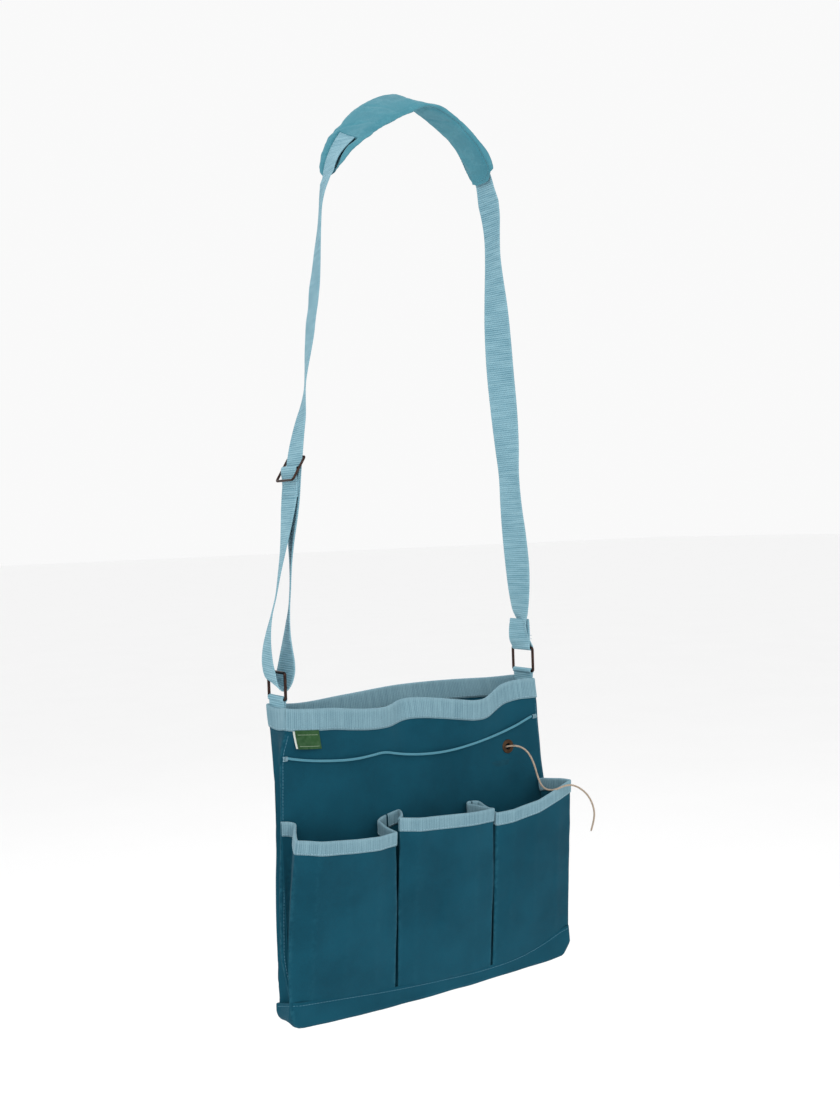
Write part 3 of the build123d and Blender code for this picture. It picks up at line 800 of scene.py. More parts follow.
def punch(obj, centre, radius):
    """Opens a round hole through the front of a cloth, at centre = (x, z)."""
    form = bmesh.new()
    form.from_mesh(obj.data)
    middle = at(centre[0], front_y(centre[1]), centre[1])
    inside = [v for v in form.verts if math.hypot(v.co.x - middle[0], v.co.z - middle[2]) < radius * MM
              and abs(v.co.y - middle[1]) < 12 * MM]
    bmesh.ops.delete(form, geom=inside, context="VERTS")
    form.to_mesh(obj.data)
    form.free()


def add_body():
    us = np.linspace(0, GIRTH, 380, endpoint=False)
    fractions = np.linspace(0, 1, 110)
    z = BODY_LOW + (rim_height(us)[:, None] - BODY_LOW) * fractions[None, :]
    points = body_surface(us[:, None], z)
    st = grid(us, fractions * 315.0)
    wear = np.exp(-corner_nearness(us) / 2.0)[:, None] * 0.55
    body = cloth("canvas_body", points, CANVAS_HALF, CANVAS, st, wear, wrap=True)
    punch(body, EYELET, EYELET_HOLE)
    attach(body, "bag")
    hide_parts("front_panel", "back_panel", "gusset_left", "gusset_right")


def cap_profile(drop, inner, outer, rows):
    """A U over an edge as (drop, offset) pairs, round its outside and back along its inside."""
    outside = [(drop * k / rows, outer) for k in range(rows, -1, -1)]
    top = [(-outer * math.sin(a), outer * math.cos(a)) for a in np.linspace(0, math.pi, 7)[1:-1]]
    inside = [(drop * k / rows, -outer) for k in range(0, rows + 1)]
    back = [(drop, -inner), (drop * 0.5, -inner), (inner * 0.5, -inner), (inner * 0.5, inner),
            (drop * 0.5, inner), (drop, inner)]
    return outside + top + inside + back


RIB = 1.6
RIB_SWELL = 0.11


def edge_binding(name, point_of, us, drop, inner, outer, wrap):
    """Ribbed binding folded over a cloth's top edge. point_of(us, drops) gives the cloth's mid-surface."""
    profile = cap_profile(drop, inner, outer, 6)
    drops = sorted({max(0.0, round(d, 4)) for d, _ in profile})
    base = point_of(us, np.array(drops))
    normal, _, down = grid_frames(base, wrap)
    normal = -normal
    run = distance_along(base[:, 0])
    ribs = np.sin(run * 2 * math.pi / RIB)
    points = np.zeros((len(us), len(profile), 3))
    st = np.zeros((len(us), len(profile), 2))
    wear = np.zeros((len(us), len(profile)))
    place = 0.0
    for j, (d, offset) in enumerate(profile):
        k = drops.index(max(0.0, round(d, 4)))
        shown = abs(offset) >= inner + 0.01 or d < 0
        swell = RIB_SWELL * ribs if shown else 0.0 * ribs
        edge = 0.22 if shown and d >= drop - 0.01 else 0.0
        out = offset + np.sign(offset) * (swell - edge)
        points[:, j] = base[:, k] + normal[:, k] * out[:, None]
        if d < 0:
            points[:, j] += down[:, k] * (d - swell)[:, None]
        if j:
            place += math.hypot(d - profile[j - 1][0], offset - profile[j - 1][1])
        st[:, j, 0] = run
        st[:, j, 1] = place
        wear[:, j] = 0.8 if d < 0.5 and shown else 0.1
    faces = round_faces(len(us), len(profile), wrap)
    mesh = mesh_from(name, points.reshape(-1, 3), faces, st.reshape(-1, 2), wear.ravel())
    return link(name, mesh, BINDING)


def line_on_both_faces(base, lift):
    """The middle row of a cloth's points as stitch lines, that far off each of its faces."""
    normal = grid_normals(base)
    return [(base[:, 1] + way * normal[:, 1] * lift, way * normal[:, 1]) for way in (1, -1)]


RIM_BIND = 20.8
RIM_SEAM = RIM_BIND - 2.2


def add_rim_binding():
    count = int(GIRTH / (RIB / 3))
    us = np.linspace(0, GIRTH, count, endpoint=False)
    binding = edge_binding("rim_binding_webbing", body_below, us, RIM_BIND, 0.75, 1.7, True)
    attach(binding, "bag")
    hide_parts("rim_binding_front", "rim_binding_back", "rim_binding_left", "rim_binding_right")
    base = body_below(np.linspace(0, GIRTH, 420), np.array([RIM_SEAM - 1.0, RIM_SEAM, RIM_SEAM + 1.0]))
    stitches("rim_stitches", line_on_both_faces(base, 1.72), THREAD_LIGHT, "bag")


add_body()
add_rim_binding()

# the base band's stitched edge: its height at the back, and how it dips or rises in front as (x, height)
BAND_H = 27.0
BAND_EDGE = ((-186, 0.0), (-120, -3.0), (-64, -6.5), (0, -9.5), (62, -11.5), (108, -9.5), (148, -2.0),
             (176, 5.0), (186, 6.0))


def band_sag(x):
    """How the bottom of the bag sags between its corners."""
    return -5.0 * (1 - np.clip(np.abs(x) / 184.0, 0, 1) ** 2.2)


# ---- the pockets: one pleated strip in three pieces
# (run, x at rim, depth at rim, x at base, depth at base, rim height, closing power); depth is from the front
# panel, and a high power closes the strip on to the panel soon below its rim
STRIP_TABLE = np.array((
    (0, -178, 1.4, -180, 1.4, 205, 0.92), (10, -170, 1.6, -179, 1.4, 204, 1.8),
    (17, -163, 3.0, -178, 1.5, 202, 1.8), (24, -167, 10, -179, 1.8, 199, 1.8),
    (40, -176, 26, -179.5, 2.4, 195, 2.0), (52, -180, 36, -181, 3.2, 193, 1.8),
    (75, -155, 41, -158, 4.2, 188.5, 1.1), (110, -120, 42, -120, 4.4, 185, 0.92),
    (145, -86, 40, -83, 4.2, 183, 0.92), (168, -63.4, 36, -57.5, 3.6, 183, 0.92),
    (184, -66, 22, -63, 2.6, 186, 0.92), (200, -67, 5, -68, 1.8, 190, 0.92),
    (207, -60, 2.0, -60, 1.4, 192.5, 0.92), (217, -48, 1.6, -52, 1.4, 195, 0.92),
    (226, -39, 2.4, -45.5, 1.6, 197, 0.92), (234, -42, 10, -44.5, 2.0, 197.5, 0.92),
    (250, -52, 26, -49.5, 2.6, 197.5, 0.92), (261, -60.8, 36, -55, 3.4, 197, 0.92),
    (285, -38, 40, -34, 4.2, 194, 0.92), (322, 0, 41, 3, 4.4, 191.5, 0.92),
    (360, 38, 40, 42, 4.2, 189.5, 0.92), (384, 62, 36, 67, 3.6, 188.5, 0.92),
    (398, 56, 24, 61, 2.6, 189.5, 0.92), (412, 48, 6, 55, 1.8, 191, 0.92),
    (420, 52, 2.0, 60, 1.4, 192, 0.92), (428, 60, 1.6, 66, 1.4, 191.5, 0.92),
    (434, 66, 2.4, 72, 1.6, 190.5, 0.92), (442, 66, 10, 74, 2.0, 188, 0.92),
    (458, 65.5, 26, 71.5, 2.6, 184, 0.92), (468, 65, 36, 69.5, 3.4, 183, 0.92),
    (492, 87, 40, 91, 4.2, 184.5, 0.92), (526, 118, 42, 124, 4.4, 190, 0.92),
    (560, 149, 41, 161, 4.2, 199, 0.92), (582, 170, 38, 181, 3.2, 205, 1.1),
    (594, 165, 26, 179, 2.4, 205.5, 1.3), (608, 154, 8, 177, 1.8, 204.5, 1.4),
    (616, 152, 2.6, 176, 1.5, 203.5, 0.92), (626, 157, 1.6, 178, 1.4, 202, 0.92),
    (636, 163, 1.4, 180, 1.4, 200, 0.92),
), float)
POCKET_FOOT = 11.0
POCKET_HALF = 0.5
PIECES = (("left", 0.0, 211.0), ("middle", 213.0, 423.0), ("right", 425.0, 636.0))


def hats(q, knots):
    """Weights of the strip's stations at each run q, softened so that folds are round."""
    stations = np.eye(len(knots))
    return softened(lambda run: np.stack([np.interp(run, knots, row) for row in stations], 1), q, 0.6)


def strip_plain(q, z):
    """The pocket strip at run q and height z, before wrinkles."""
    weights = hats(q.ravel(), STRIP_TABLE[:, 0])
    shape = [(weights @ values).reshape(q.shape) for values in STRIP_TABLE.T[1:]]
    x_rim, depth_rim, x_foot, depth_foot, rim, power = shape
    hinge = BAND_H - 5.0 + through(BAND_EDGE, x_foot) + band_sag(x_foot)
    height = np.clip((z - hinge) / (rim - hinge), 0.0, 1.2)
    x = x_foot + (x_rim - x_foot) * height ** power
    depth = depth_foot + (depth_rim - depth_foot) * height ** power
    return np.stack([x, front_y(z) - 0.6 - depth, z], -1)


def strip_depth(q, z, points):
    depth = front_y(z) - points[..., 1]
    return 0.85 * smoothstep(5.0, 22.0, depth) * smoothstep(20.0, 60.0, z)


def strip_surface(q, z):
    return wrinkled(strip_plain, q, z, strip_depth, 38.0, 3.0)


def strip_rim(q):
    return hats(q, STRIP_TABLE[:, 0]) @ STRIP_TABLE[:, 5]


def strip_below(q, drops):
    return strip_surface(q[:, None], strip_rim(q)[:, None] - np.asarray(drops)[None, :])


POCKET_BIND = 13.0
POCKET_SEAM = POCKET_BIND - 1.8


def add_pockets():
    for name, start, end in PIECES:
        q = np.linspace(start, end, int((end - start) / 1.6))
        fractions = np.linspace(0, 1, 84)
        z = POCKET_FOOT + (strip_rim(q)[:, None] - POCKET_FOOT) * fractions[None]
        points = strip_surface(q[:, None], z)
        st = grid(q, fractions * 168.0)
        depth = hats(q, STRIP_TABLE[:, 0]) @ STRIP_TABLE[:, 2]
        bend = np.abs(np.gradient(np.gradient(depth)))
        wear = np.clip(bend / (bend.max() + 1e-9), 0, 1)[:, None] * 0.5
        pocket = cloth(f"pocket_{name}_canvas", points, POCKET_HALF, CANVAS, st, wear)
        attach(pocket, "bag")
        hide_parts(f"pocket_{name}")
        q_fine = np.linspace(start, end, int((end - start) / (RIB / 3)))
        binding = edge_binding(f"pocket_{name}_edging", strip_below, q_fine, POCKET_BIND, 0.6, 1.5, False)
        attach(binding, "bag")
        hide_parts(f"pocket_binding_{name}")
        line_q = np.linspace(start + 1, end - 1, 200)
        base = strip_below(line_q, np.array([POCKET_SEAM - 1.0, POCKET_SEAM, POCKET_SEAM + 1.0]))
        rows = line_on_both_faces(base, 1.5)
        stitches(f"pocket_{name}_stitches", rows, THREAD_LIGHT, "bag")


add_pockets()

# ---- the base band: a shallow tray round the bottom
BAND_HALF = 0.7
BAND_MIDDLE_Y = -28.0
BAND_SEAM = 2.6  # below the band's edge
WALL_LOW = 3.5
LEFT_ROUND = 13.0
RIGHT_CHAMFER = (12.0, 15.0)
SIDE_HUG = 4.0  # how far the band's ends are drawn in against the gussets
CORNER_DROP = 8.5  # how far its edge dips at the back left corner


def band_outline(u, z):
    """Like the canvas outline, standing off far enough to cover the feet of the pockets."""
    u = np.mod(u, GIRTH)
    x_front, f, x_back, g = round_the_bag(u)
    width = half_width(z) - 0.2
    left_w = width - LEFT_ROUND * (1 - np.sqrt(1 - np.clip(1 - z / LEFT_ROUND, 0, 1) ** 2))
    right_w = width - RIGHT_CHAMFER[0] * np.clip(1 - z / RIGHT_CHAMFER[1], 0, 1) ** 1.2
    front_line = front_y(z) - 4.6 - 1.6 * smoothstep(0, 25, z)
    back_line = through(BACK_SIDE, z) + 1.4
    deep = back_line - front_line
    front = np.stack([x_front * np.where(x_front < 0, left_w, right_w), front_line + 0 * u], -1)
    right = np.stack([right_w - SIDE_HUG * np.sin(math.pi * f) ** 0.25, front_line + deep * f], -1)
    bowed = back_line + 1.5 * (1 - x_back ** 2)
    back = np.stack([x_back * np.where(x_back < 0, left_w, right_w), bowed], -1)
    left = np.stack([-left_w + SIDE_HUG * np.sin(math.pi * g) ** 0.25, back_line - deep * g], -1)
    return by_side(u, front, right, back, left)


def band_top(us):
    """Height of the band's stitched edge: it dips along the front, and is level along most of the back."""
    u = np.mod(us, GIRTH)
    x_front, f, _, g = round_the_bag(u)
    front = through(BAND_EDGE, x_front * 186.0)
    from_left = np.clip(2 * FRONT_RUN + SIDE_RUN - u, 0, FRONT_RUN)
    back = -CORNER_DROP * smoothstep(70.0, 0.0, from_left)
    return BAND_H + by_side(u, front, 6.0 * (1 - f), back, -CORNER_DROP * (1 - g))


def band_points(us, rows):
    """rows of (share of the way up the wall, height, share of the way in to the middle of the bottom)."""
    out = np.zeros((len(us), len(rows), 3))
    top = softened(band_top, us)
    soft = 1 + 2.2 * np.exp(-(np.minimum(us, GIRTH - us) / 20.0) ** 2)
    for j, (share, height, inward) in enumerate(rows):
        z = height + share * (top - WALL_LOW)
        xy = softened(lambda run: band_outline(run, z), us, soft)
        from_middle = xy[:, 1] - BAND_MIDDLE_Y
        y = BAND_MIDDLE_Y + np.sign(from_middle) * np.maximum(np.abs(from_middle * (1 - inward)), 0.25)
        out[:, j] = np.stack([xy[:, 0] * (1 - 0.02 * inward), y, z + band_sag(xy[:, 0])], -1)
    return out


def add_base_band():
    us = np.linspace(0, GIRTH, 420, endpoint=False)
    walls = [(share, WALL_LOW, 0.0) for share in np.linspace(1, 0, 14)]
    turn = [(0, 2.0, 0.02), (0, 0.8, 0.08), (0, 0.1, 0.18)]
    floor = [(0, -0.2, f) for f in (0.32, 0.5, 0.7, 0.86, 0.96, 1.0)]
    points = band_points(us, walls + turn + floor)
    wobble = ripple(points, 30.0, 5.0) * 0.45
    normal = grid_normals(points, wrap=True)
    points = points + normal * (wobble * smoothstep(30.0, 20.0, points[..., 2]))[..., None]
    st = grid(us, distance_along(points[60]))
    low = smoothstep(4.0, 0.0, points[..., 2] + 4.0)
    wear = 0.35 * low + 0.5 * np.exp(-corner_nearness(us) / 2.5)[:, None]
    band = cloth("base_band_canvas", points, BAND_HALF, CANVAS, st, wear, wrap=True)
    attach(band, "bag")
    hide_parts("base_band")
    base = band_points(np.linspace(0, GIRTH, 500),
                       [(1, WALL_LOW - BAND_SEAM + way, 0.0) for way in (1, 0, -1)])
    normal = grid_normals(base)
    outwards = (normal[:, 1] * (base[:, 1] - (0.0, BAND_MIDDLE_Y, 10.0))).sum(1)
    normal = np.sign(outwards)[:, None] * normal[:, 1]
    stitches("base_band_stitches", [(base[:, 1] + normal * 0.72, normal)], THREAD_CANVAS, "bag")


add_base_band()

# ---- webbing
WEB_W = 31.5
WEB_HALF = 0.6
WEB_RIB = 1.7
ACROSS = np.linspace(-13.5, 13.5, 14)  # where the stitches across the webbing lie
LEAN = (0.12357, 0.99234)  # the direction of the strap's left leg, in X and Z
RING_X = 160.4
RING_TOP = (RING_LEFT_Z - BOTTOM_Z) / MM - 1.6
TURN_R = 2.5
ARCH = (15.0, 855.0)
ARCH_R = 109.5


def ribbon(name, rows):
    """Webbing along rows of (x, y, z, lateral x, lateral y, lateral z)."""
    fine, run = resample(rows, WEB_RIB / 3)
    centre = fine[:, :3]
    tangent = unit(np.gradient(centre, axis=0))
    lateral = fine[:, 3:]
    lateral = unit(lateral - tangent * (lateral * tangent).sum(1, keepdims=True))
    wave = np.sin(run * 2 * math.pi / WEB_RIB)
    v = squared(np.linspace(-1, 1, 11), 0.85) / 2
    edge = 1 + 0.012 * squared(wave, 0.5)
    points = centre[:, None] + lateral[:, None] * (v[None, :] * WEB_W)[..., None] * edge[:, None, None]
    thick = WEB_HALF * (1 + 0.16 * wave[:, None] + 0.18 * (np.abs(2 * v)[None, :] > 0.93))
    wear = (np.abs(2 * v) > 0.9)[None, :] * 0.7
    return cloth(name, points, thick, STRAP, grid(run, v * WEB_W), wear)


def flat_rows(keys):
    """Rows for webbing from (x, z, twist, hang): how far its front edge stands in +X and hangs in -Z."""
    return [(x, 0.0, z, -twist, WEB_W, hang) for x, z, twist, hang in keys]


def smooth_rows(keys, count):
    """Rows on a smooth curve through keys of (x, z, twist) or (x, z, twist, hang)."""
    table = np.array([(*key, 0.0)[:4] for key in keys], float)
    run = distance_along(table[:, :2])
    want = np.linspace(0, run[-1], count)
    return flat_rows(through(np.column_stack([run, table]), want).tolist())


# the arch over the shoulder: (angle from the top, how far it leaves the circle, roll towards the front)
ARCH_SHAPE = ((-86, -14.0, -12.0), (-72, -16.0, -4.0), (-58, -19.0, 9.0), (-45, -20.0, 19.0),
              (-27, -17.0, 29.0), (-10, -11.0, 33.0), (4, -3.5, 30.0), (11, -1.0, 21.0), (19, 0.0, 14.0),
              (31, 1.0, 11.0), (47, 3.5, 11.0), (66, 4.8, 7.0), (86, 5.0, -2.0))


def arch_frame(angles, radius):
    """Centres, outward normals and sideways directions on the arch at angles in degrees from its top."""
    angles = np.asarray(angles, float)
    leave, roll = np.moveaxis(through(ARCH_SHAPE, angles), -1, 0)
    a = np.radians(angles)
    roll = np.radians(roll)[..., None]
    out = np.stack([np.sin(a), 0 * a, np.cos(a)], -1)
    across = np.broadcast_to(np.array([0.0, 1.0, 0.0]), out.shape)
    centre = np.stack([ARCH[0] + 0 * a, 0 * a, ARCH[1] + 0 * a], -1) + out * (radius + leave)[..., None]
    return centre, out * np.cos(roll) - across * np.sin(roll), across * np.cos(roll) + out * np.sin(roll)


def arch_rows(start, end, count):
    angles = np.linspace(start, end, count)
    centre, _, across = arch_frame(angles, ARCH_R - 1.6 * smoothstep(46.0, 36.0, np.abs(angles)))
    return [(*c, *(l * WEB_W)) for c, l in zip(centre.tolist(), across)]


# keys of (x, z, twist) from the left ring up to the pad, and from the pad down to the right ring
LEFT_LEG = ((-168.4, 352, -3, 0), (-166.4, 345, -3, 4), (-162.6, 339.8, -2, 9), (-158.4, 338.4, 0, 9),
            (-153.6, 342.4, 2, 6), (-150.2, 350, 3.5, 2), (-148.2, 362, 1), (-147.4, 376, -4.5),
            (-146.6, 388, -9), (-145.2, 402, -13), (-143.3, 416, -16), (-141.2, 436, -16.5),
            (-139.7, 460, -15), (-138.4, 482, -11), (-136.9, 505, -5), (-135.0, 528, -1),
            (-133.7, 545, 0), (-132.0, 560.5, 0), (-129.4, 577, -1), (-125.2, 598, -4),
            (-121.6, 613, -7), (-118.0, 630, -13), (-115.6, 645, -16.5), (-113.2, 662, -14.5),
            (-110.4, 681, -10.5), (-107.8, 698, -8), (-105.6, 715, -7), (-102.6, 730, -7),
            (-100.2, 749, -6), (-97.2, 770, -8.5), (-94.8, 791, -11), (-91.8, 814, -14),
            (-89.6, 832, -14.5), (-87.0, 846, -12), (-82.6, 862, -7))
RIGHT_LEG = ((131.0, 862, 4), (133.6, 846, 1), (134.6, 828, -2.5), (134.6, 800, -3), (135.6, 772, 2),
             (136.6, 752, 7), (137.9, 718, 14.5), (140.3, 670, 19.5), (143.8, 627, 18),
             (146.4, 590, 11.5), (148.2, 552, 4), (150.0, 516, 6), (153.3, 482, 10), (156.6, 445, 10),
             (158.0, 412, 3), (158.8, 394, -4), (160.8, 379, -14), (162.3, 366, -11), (162.9, 353.5, 0))


def add_shoulder_strap():
    left = smooth_rows(LEFT_LEG, 220)
    arch = arch_rows(-81.5, 79.0, 90)
    right = smooth_rows(RIGHT_LEG, 170)
    turn_right = flat_rows([(RING_X + TURN_R * math.cos(a), RING_TOP + TURN_R * math.sin(a), 0.0, 0.0)
                            for a in np.radians(np.linspace(0, -178, 14))])
    end_tab = smooth_rows([(157.9, RING_TOP + 1.2, 0), (156.6, RING_TOP + 8, 4), (156.4, RING_TOP + 18, 5),
                           (157.2, RING_TOP + 33, 2)], 20)
    rows = left + arch + right + turn_right[1:] + end_tab
    strap = ribbon("shoulder_webbing", rows)
    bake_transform(strap)
    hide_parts("strap_over_shoulder", "strap_left", "strap_right")
    lines = []
    for height in (10.0, 14.0, 26.0, 28.5):
        outer_x = 163.6 if height < 20 else 162.3
        for x, way in ((outer_x - 0.02 * height, 1.0), (157.6 + 0.03 * height, -1.0)):
            points = np.array([(x, y, RING_TOP + height) for y in ACROSS])
            lines.append((points, np.tile((way, 0.0, 0.0), (len(ACROSS), 1))))
    stitches("strap_end_stitches", lines, THREAD_LIGHT, "strap")


add_shoulder_strap()

TAIL = ((-168.4, 352, -3), (-170.0, 361, -4), (-170.2, 376, -7), (-167.8, 394, -12), (-163.6, 411, -16),
        (-158.4, 428, -16.5), (-153.2, 452, -14.5), (-147.6, 478, -10.5), (-143.0, 503, -5),
        (-140.2, 520, -1.5), (-138.55, 530.4, 0))
SLIDER_BAR = (-135.75, 560.46)
FOLD_R = 2.2
LEG_GAP = 1.52


def add_tail():
    tail = ribbon("strap_tail_webbing", smooth_rows(TAIL, 90))
    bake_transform(tail)
    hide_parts("strap_tail")


def beside_leg(down, off):
    """A point that far down from the slider's bar and that far outside the strap's left leg."""
    leg_x = SLIDER_BAR[0] + 3.72 * LEAN[1]
    return leg_x - LEAN[0] * down - LEAN[1] * off, SLIDER_BAR[1] - LEAN[1] * down + LEAN[0] * off


def add_fold():
    outer = [(*beside_leg(down, off), 0.0, 0.0) for down, off in
             ((29.9, 2.8), (24, 2.85), (17, 3.0), (10, 4.2), (4, 5.6), (0, 3.72 + FOLD_R))]
    bar = [(SLIDER_BAR[0] - FOLD_R * LEAN[1] * math.cos(a) + FOLD_R * LEAN[0] * math.sin(a),
            SLIDER_BAR[1] + FOLD_R * LEAN[0] * math.cos(a) + FOLD_R * LEAN[1] * math.sin(a), 0.0, 0.0)
           for a in np.linspace(0, math.pi, 12)[1:-1]]
    inner = [(*beside_leg(down, LEG_GAP), 0.0, 0.0) for down in (0, 6, 14, 22, 29.4)]
    fold = ribbon("strap_end_fold", smooth_rows(outer, 40) + flat_rows(bar) + smooth_rows(inner, 34))
    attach(fold, "slider")
    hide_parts("strap_fold")
    lines = []
    for down in (13.0, 15.0, 27.5):
        x, z = beside_leg(down, 3.75)
        points = np.array([(x, y, z) for y in ACROSS])
        lines.append((points, np.tile((-LEAN[1], 0.0, LEAN[0]), (len(points), 1))))
    for edge in (-13.5, 13.5):
        points = np.array([(beside_leg(down, 3.62)[0], edge + 1.2 * (k % 2), beside_leg(down, 3.62)[1])
                           for k, down in enumerate(np.arange(13.5, 28, 1.6))])
        lines.append((points, np.tile((-LEAN[1], 0.0, LEAN[0]), (len(points), 1))))
    stitches("strap_fold_stitches", lines, THREAD_LIGHT, "slider", length=1.7, gap=0.7)


add_tail()
add_fold()

TAB_LOW = 299.5
RING_LOW = (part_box("ring_left")[0].z - BOTTOM_Z) / MM + 1.6


def add_ring_tabs():
    heights = (TAB_LOW, 305, 311, 317)
    for x, turned, name in ((-RING_X, 0.0, "left"), (RING_X, -8.0, "right")):
        down = [(x + 0.66, z, turned * (PANEL_H - z) / 33, 0.0) for z in heights]
        loop = [(x + TURN_R * math.sin(a), RING_LOW - TURN_R * math.cos(a), 0.0, 0.0)
                for a in np.radians(np.linspace(22, 338, 26))]
        up = [(x - 0.66, z, turned * (PANEL_H - z) / 33, 0.0) for z in reversed(heights)]
        tab = ribbon(f"ring_tab_{name}_webbing", flat_rows(down + loop + up))
        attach(tab, "bag")
        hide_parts(f"ring_tab_{name}")


add_ring_tabs()

# ---- the shoulder pad
PAD_END = 80.0
PAD_SHIFT = -3.0
PAD_MID_R = 107.4
PAD_HALF_W = 31.0
PAD_CORNER = 26.0
PAD_HALF_T = 3.5
PAD_HALF_LENGTH = math.radians(PAD_END) * PAD_MID_R
SLIT_ANGLE = 47.0  # degrees from the pad's middle to a slit
SLIT_SLANT = 0.22
PAD_SEAM = 7.0  # from the pad's edge in to its stitches
# small folds across the pad: (degrees from its middle, depth, slant)
PAD_FOLDS = ((-48, 0.5, 0.35), (-36, 0.6, -0.3), (-25, 0.7, 0.4), (-14, 0.5, -0.2), (20, 0.5, 0.3),
             (31, 0.6, -0.25), (44, 0.5, 0.2))


def pad_inset(s, w):
    """How far a place on the unrolled pad lies inside its rounded outline, in mm."""
    dx = np.abs(s) - (PAD_HALF_LENGTH - PAD_CORNER)
    dy = np.abs(w) - (PAD_HALF_W - PAD_CORNER)
    outside = np.hypot(np.maximum(dx, 0), np.maximum(dy, 0)) + np.minimum(np.maximum(dx, dy), 0)
    return PAD_CORNER - outside


def on_pad(s, w, lift):
    """Points on the arch from the unrolled pad: along, across and out of its middle surface."""
    centre, out, across = arch_frame(np.degrees(s / PAD_MID_R) + PAD_SHIFT, np.full(np.shape(s), PAD_MID_R))
    return centre + across * w[..., None] + out * lift[..., None]


def unroll(points):
    """The unrolled pad place of points in mm, inverse of on_pad to within a fraction of a mm."""
    angles = np.degrees(np.arctan2(points[:, 0] - ARCH[0], points[:, 2] - ARCH[1]))
    for _ in range(4):
        centre, out, across = arch_frame(angles, np.full(len(angles), PAD_MID_R))
        along = np.cross(across, out)
        angles = angles + np.degrees(((points - centre) * along).sum(1) / PAD_MID_R)
    offset = points - centre
    return np.radians(angles - PAD_SHIFT) * PAD_MID_R, (offset * across).sum(1), (offset * out).sum(1)


def pad_blank():
    """The pad before it is filled: a rounded closed form."""
    along = np.linspace(-1, 1, 121)
    s = np.sign(along) * (1 - (1 - np.abs(along)) ** 1.25) * (PAD_HALF_LENGTH - 0.8)
    turn = np.linspace(0, 2 * math.pi, 40, endpoint=False)
    into_end = np.clip(PAD_HALF_LENGTH - np.abs(s), 0.8, PAD_CORNER)
    width = PAD_HALF_W - PAD_CORNER + np.sqrt(PAD_CORNER ** 2 - (PAD_CORNER - into_end) ** 2)
    thick = PAD_HALF_T * np.sqrt(np.clip(into_end / 7.0, 0.05, 1.0))
    w = squared(np.cos(turn), 0.7)[None, :] * width[:, None]
    lift = squared(np.sin(turn), 0.7)[None, :] * thick[:, None]
    return on_pad(np.broadcast_to(s[:, None], w.shape), w, lift)


def baked(obj):
    """Replaces an object's mesh with what its modifiers make of it."""
    graph = bpy.context.evaluated_depsgraph_get()
    mesh = bpy.data.meshes.new_from_object(obj.evaluated_get(graph))
    obj.modifiers.clear()
    obj.data = mesh


def inflate(obj, voxel, pressure, cap, frames=20):
    """Fills a closed form by cloth pressure; no point moves more than cap metres."""
    remesh = obj.modifiers.new("remesh", "REMESH")
    remesh.mode = "VOXEL"
    remesh.voxel_size = voxel
    even = obj.modifiers.new("even", "SMOOTH")
    even.factor = 0.5
    even.iterations = 7
    baked(obj)
    count = len(obj.data.vertices)
    start = np.zeros(count * 3, np.float32)
    obj.data.vertices.foreach_get("co", start)
    start = start.reshape(-1, 3)
    cloth_modifier = obj.modifiers.new("cloth", "CLOTH")
    settings = cloth_modifier.settings
    settings.use_pressure = True
    settings.uniform_pressure_force = pressure
    settings.effector_weights.gravity = 0.0
    scene = bpy.context.scene
    for number in range(1, frames + 1):
        scene.frame_set(number)
    graph = bpy.context.evaluated_depsgraph_get()
    swollen = obj.evaluated_get(graph).to_mesh()
    moved = np.zeros(count * 3, np.float32)
    swollen.vertices.foreach_get("co", moved)
    obj.evaluated_get(graph).to_mesh_clear()
    obj.modifiers.clear()
    scene.frame_set(1)
    step = moved.reshape(-1, 3) - start
    length = np.linalg.norm(step, axis=1, keepdims=True)
    start = start + step * np.minimum(1.0, cap / np.maximum(length, 1e-9))
    obj.data.vertices.foreach_set("co", start.ravel())
    subdivide = obj.modifiers.new("subdivide", "SUBSURF")
    subdivide.levels = 2
    subdivide.render_levels = 2
    baked(obj)


def shape_pad(points):
    """Sewn channels, the two slits' grooves, the creased top and small folds, on the filled pad."""
    s, w, lift = unroll(points)
    inset = pad_inset(s, w)
    angle = np.degrees(s / PAD_MID_R)
    under = lift < 0
    sewn = np.exp(-((inset - PAD_SEAM) / 1.3) ** 2) * smoothstep(-0.5, -2.0, lift)
    lift = lift + 1.0 * sewn
    edge_seam = np.exp(-((inset - 7.5) / 1.6) ** 2) * smoothstep(0.5, 2.0, lift)
    lift = lift - 0.35 * edge_seam
    slit = SLIT_ANGLE - SLIT_SLANT * w
    groove = smoothstep(slit - 0.6, slit + 0.9, np.abs(angle)) * smoothstep(18.2, 16.8, w)
    groove = groove * smoothstep(-23.4, -21.9, w)
    level = -1.4 - 0.8 * smoothstep(70.0, 80.0, np.abs(angle))
    lift = np.where(under, lift, lift + groove * (np.minimum(lift, level) - lift))
    lip = smoothstep(slit + 1, slit + 10, np.abs(angle)) * smoothstep(19.0, 22.5, np.abs(w))
    lift = lift + 1.6 * lip * smoothstep(0.5, 2.5, lift)
    crown = np.exp(-((angle - 6.0) / 2.6) ** 2) * smoothstep(0.0, 2.5, lift)
    lift = lift + 1.2 * crown
    hollow = np.exp(-((angle - 16.0) / 3.2) ** 2)
    lift = lift - 0.5 * hollow * smoothstep(0.0, 2.5, lift) + 1.6 * hollow * smoothstep(0.0, -2.5, lift)
    for centre, depth, slant in PAD_FOLDS:
        fold = np.exp(-((angle - centre - slant * w) / 1.5) ** 2)
        lift = lift - depth * fold * smoothstep(28, 10, np.abs(w + centre * 0.2)) * np.sign(lift)
    soft = ripple(np.stack([s, w, lift * 0], 1), 24.0, 6.0) * 0.7
    soft = soft + ripple(np.stack([s, w, lift], 1), 9.0, 7.0) * 0.22
    lift = lift + soft * np.sign(lift) * smoothstep(0.5, 2.5, np.abs(lift))
    return on_pad(s, w, lift), s, w, lift, inset


